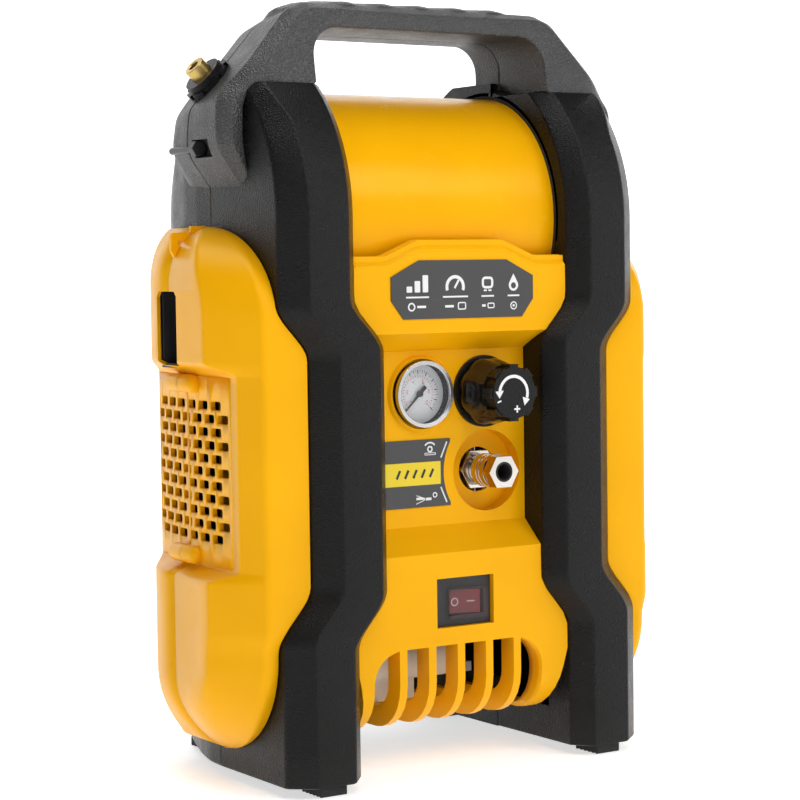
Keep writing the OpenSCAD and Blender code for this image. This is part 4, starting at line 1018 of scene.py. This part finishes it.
def cove(name, reach, rise, radius, half_width):
    """A pale sheet on the floor, which curves up into a wall behind the object as the camera sees it."""
    away = Vector((math.sin(YAW), math.cos(YAW), 0))
    across = Vector((away.y, -away.x, 0))
    line = [(-half_width, 0.0), (-2.0, 0.0), (0.0, 0.0), (reach - radius, 0.0)]
    for degrees in range(10, 91, 10):
        a = math.radians(degrees)
        line.append((reach - radius + radius * math.sin(a), radius - radius * math.cos(a)))
    line.append((reach, rise))
    points = [away * d + across * w + Vector((0, 0, FLOOR_Z + h))
              for d, h in line for w in (-half_width, half_width)]
    mesh = bpy.data.meshes.new(name)
    faces = [(2 * i, 2 * i + 1, 2 * i + 3, 2 * i + 2) for i in range(len(line) - 1)]
    mesh.from_pydata(points, [], faces)
    for polygon in mesh.polygons:
        polygon.use_smooth = True
    mesh.materials.append(floor_mat)
    obj = bpy.data.objects.new(name, mesh)
    bpy.context.scene.collection.objects.link(obj)


# the camera's direction, as angles from straight ahead, and its place on the drawing's axes
YAW, PITCH, ROLL = math.radians(33.08), math.radians(3.26), math.radians(-0.786)
CAMERA_PLACE = at(-787.03, -1124.84, 299.40)
cove("studio_floor", reach=3.2, rise=3.0, radius=1.2, half_width=9.0)

world = bpy.data.worlds.new("studio")
bpy.context.scene.world = world
world.use_nodes = True
sky = world.node_tree
sky.nodes["Background"].inputs["Color"].default_value = (1, 1, 1, 1)
# pale round the horizon, dimmer overhead, so that the lamps shape the light
split = sky.nodes.new("ShaderNodeSeparateXYZ")
sky.links.new(sky.nodes.new("ShaderNodeTexCoord").outputs["Generated"], split.inputs[0])
strength = remap(sky, split.outputs["Z"], 0.08, 0.35, 0.55, 0.08)
sky.links.new(strength, sky.nodes["Background"].inputs["Strength"])


def area_light(name, place, target, size, power, size_y=None):
    data = bpy.data.lights.new(name, "AREA")
    data.shape = "RECTANGLE"
    data.size = size
    data.size_y = size_y or size
    data.energy = power
    lamp = bpy.data.objects.new(name, data)
    lamp.location = place
    lamp.rotation_euler = (Vector(target) - Vector(place)).to_track_quat("-Z", "Y").to_euler()
    bpy.context.scene.collection.objects.link(lamp)


centre = Vector((0, 0, 0.24))
area_light("key", (0.9, -1.8, 1.5), centre, 0.9, 11.5)
area_light("front_right", (1.7, -1.3, 0.9), centre, 1.0, 4, size_y=1.4)
area_light("top", (-0.2, 0.1, 1.8), centre, 1.0, 11)
area_light("handle", (-0.2, -0.75, 1.05), Vector((0, 0, 0.45)), 0.5, 3.2)
area_light("left", (-1.6, -0.6, 0.9), centre, 0.8, 0.3)

data = bpy.data.cameras.new("camera")
data.lens = 103.4
data.sensor_width = 36
camera = bpy.data.objects.new("camera", data)
forward = Vector((math.sin(YAW) * math.cos(PITCH), math.cos(YAW) * math.cos(PITCH), -math.sin(PITCH)))
right = Vector((math.cos(YAW), -math.sin(YAW), 0))
up = right.cross(forward)
right_rolled = right * math.cos(ROLL) + up * math.sin(ROLL)
up_rolled = up * math.cos(ROLL) - right * math.sin(ROLL)
turn = Matrix((right_rolled, up_rolled, -forward)).transposed().to_4x4()
camera.matrix_world = Matrix.Translation(CAMERA_PLACE) @ turn
bpy.context.scene.collection.objects.link(camera)
bpy.context.scene.camera = camera
bpy.context.scene.view_settings.view_transform = "Standard"
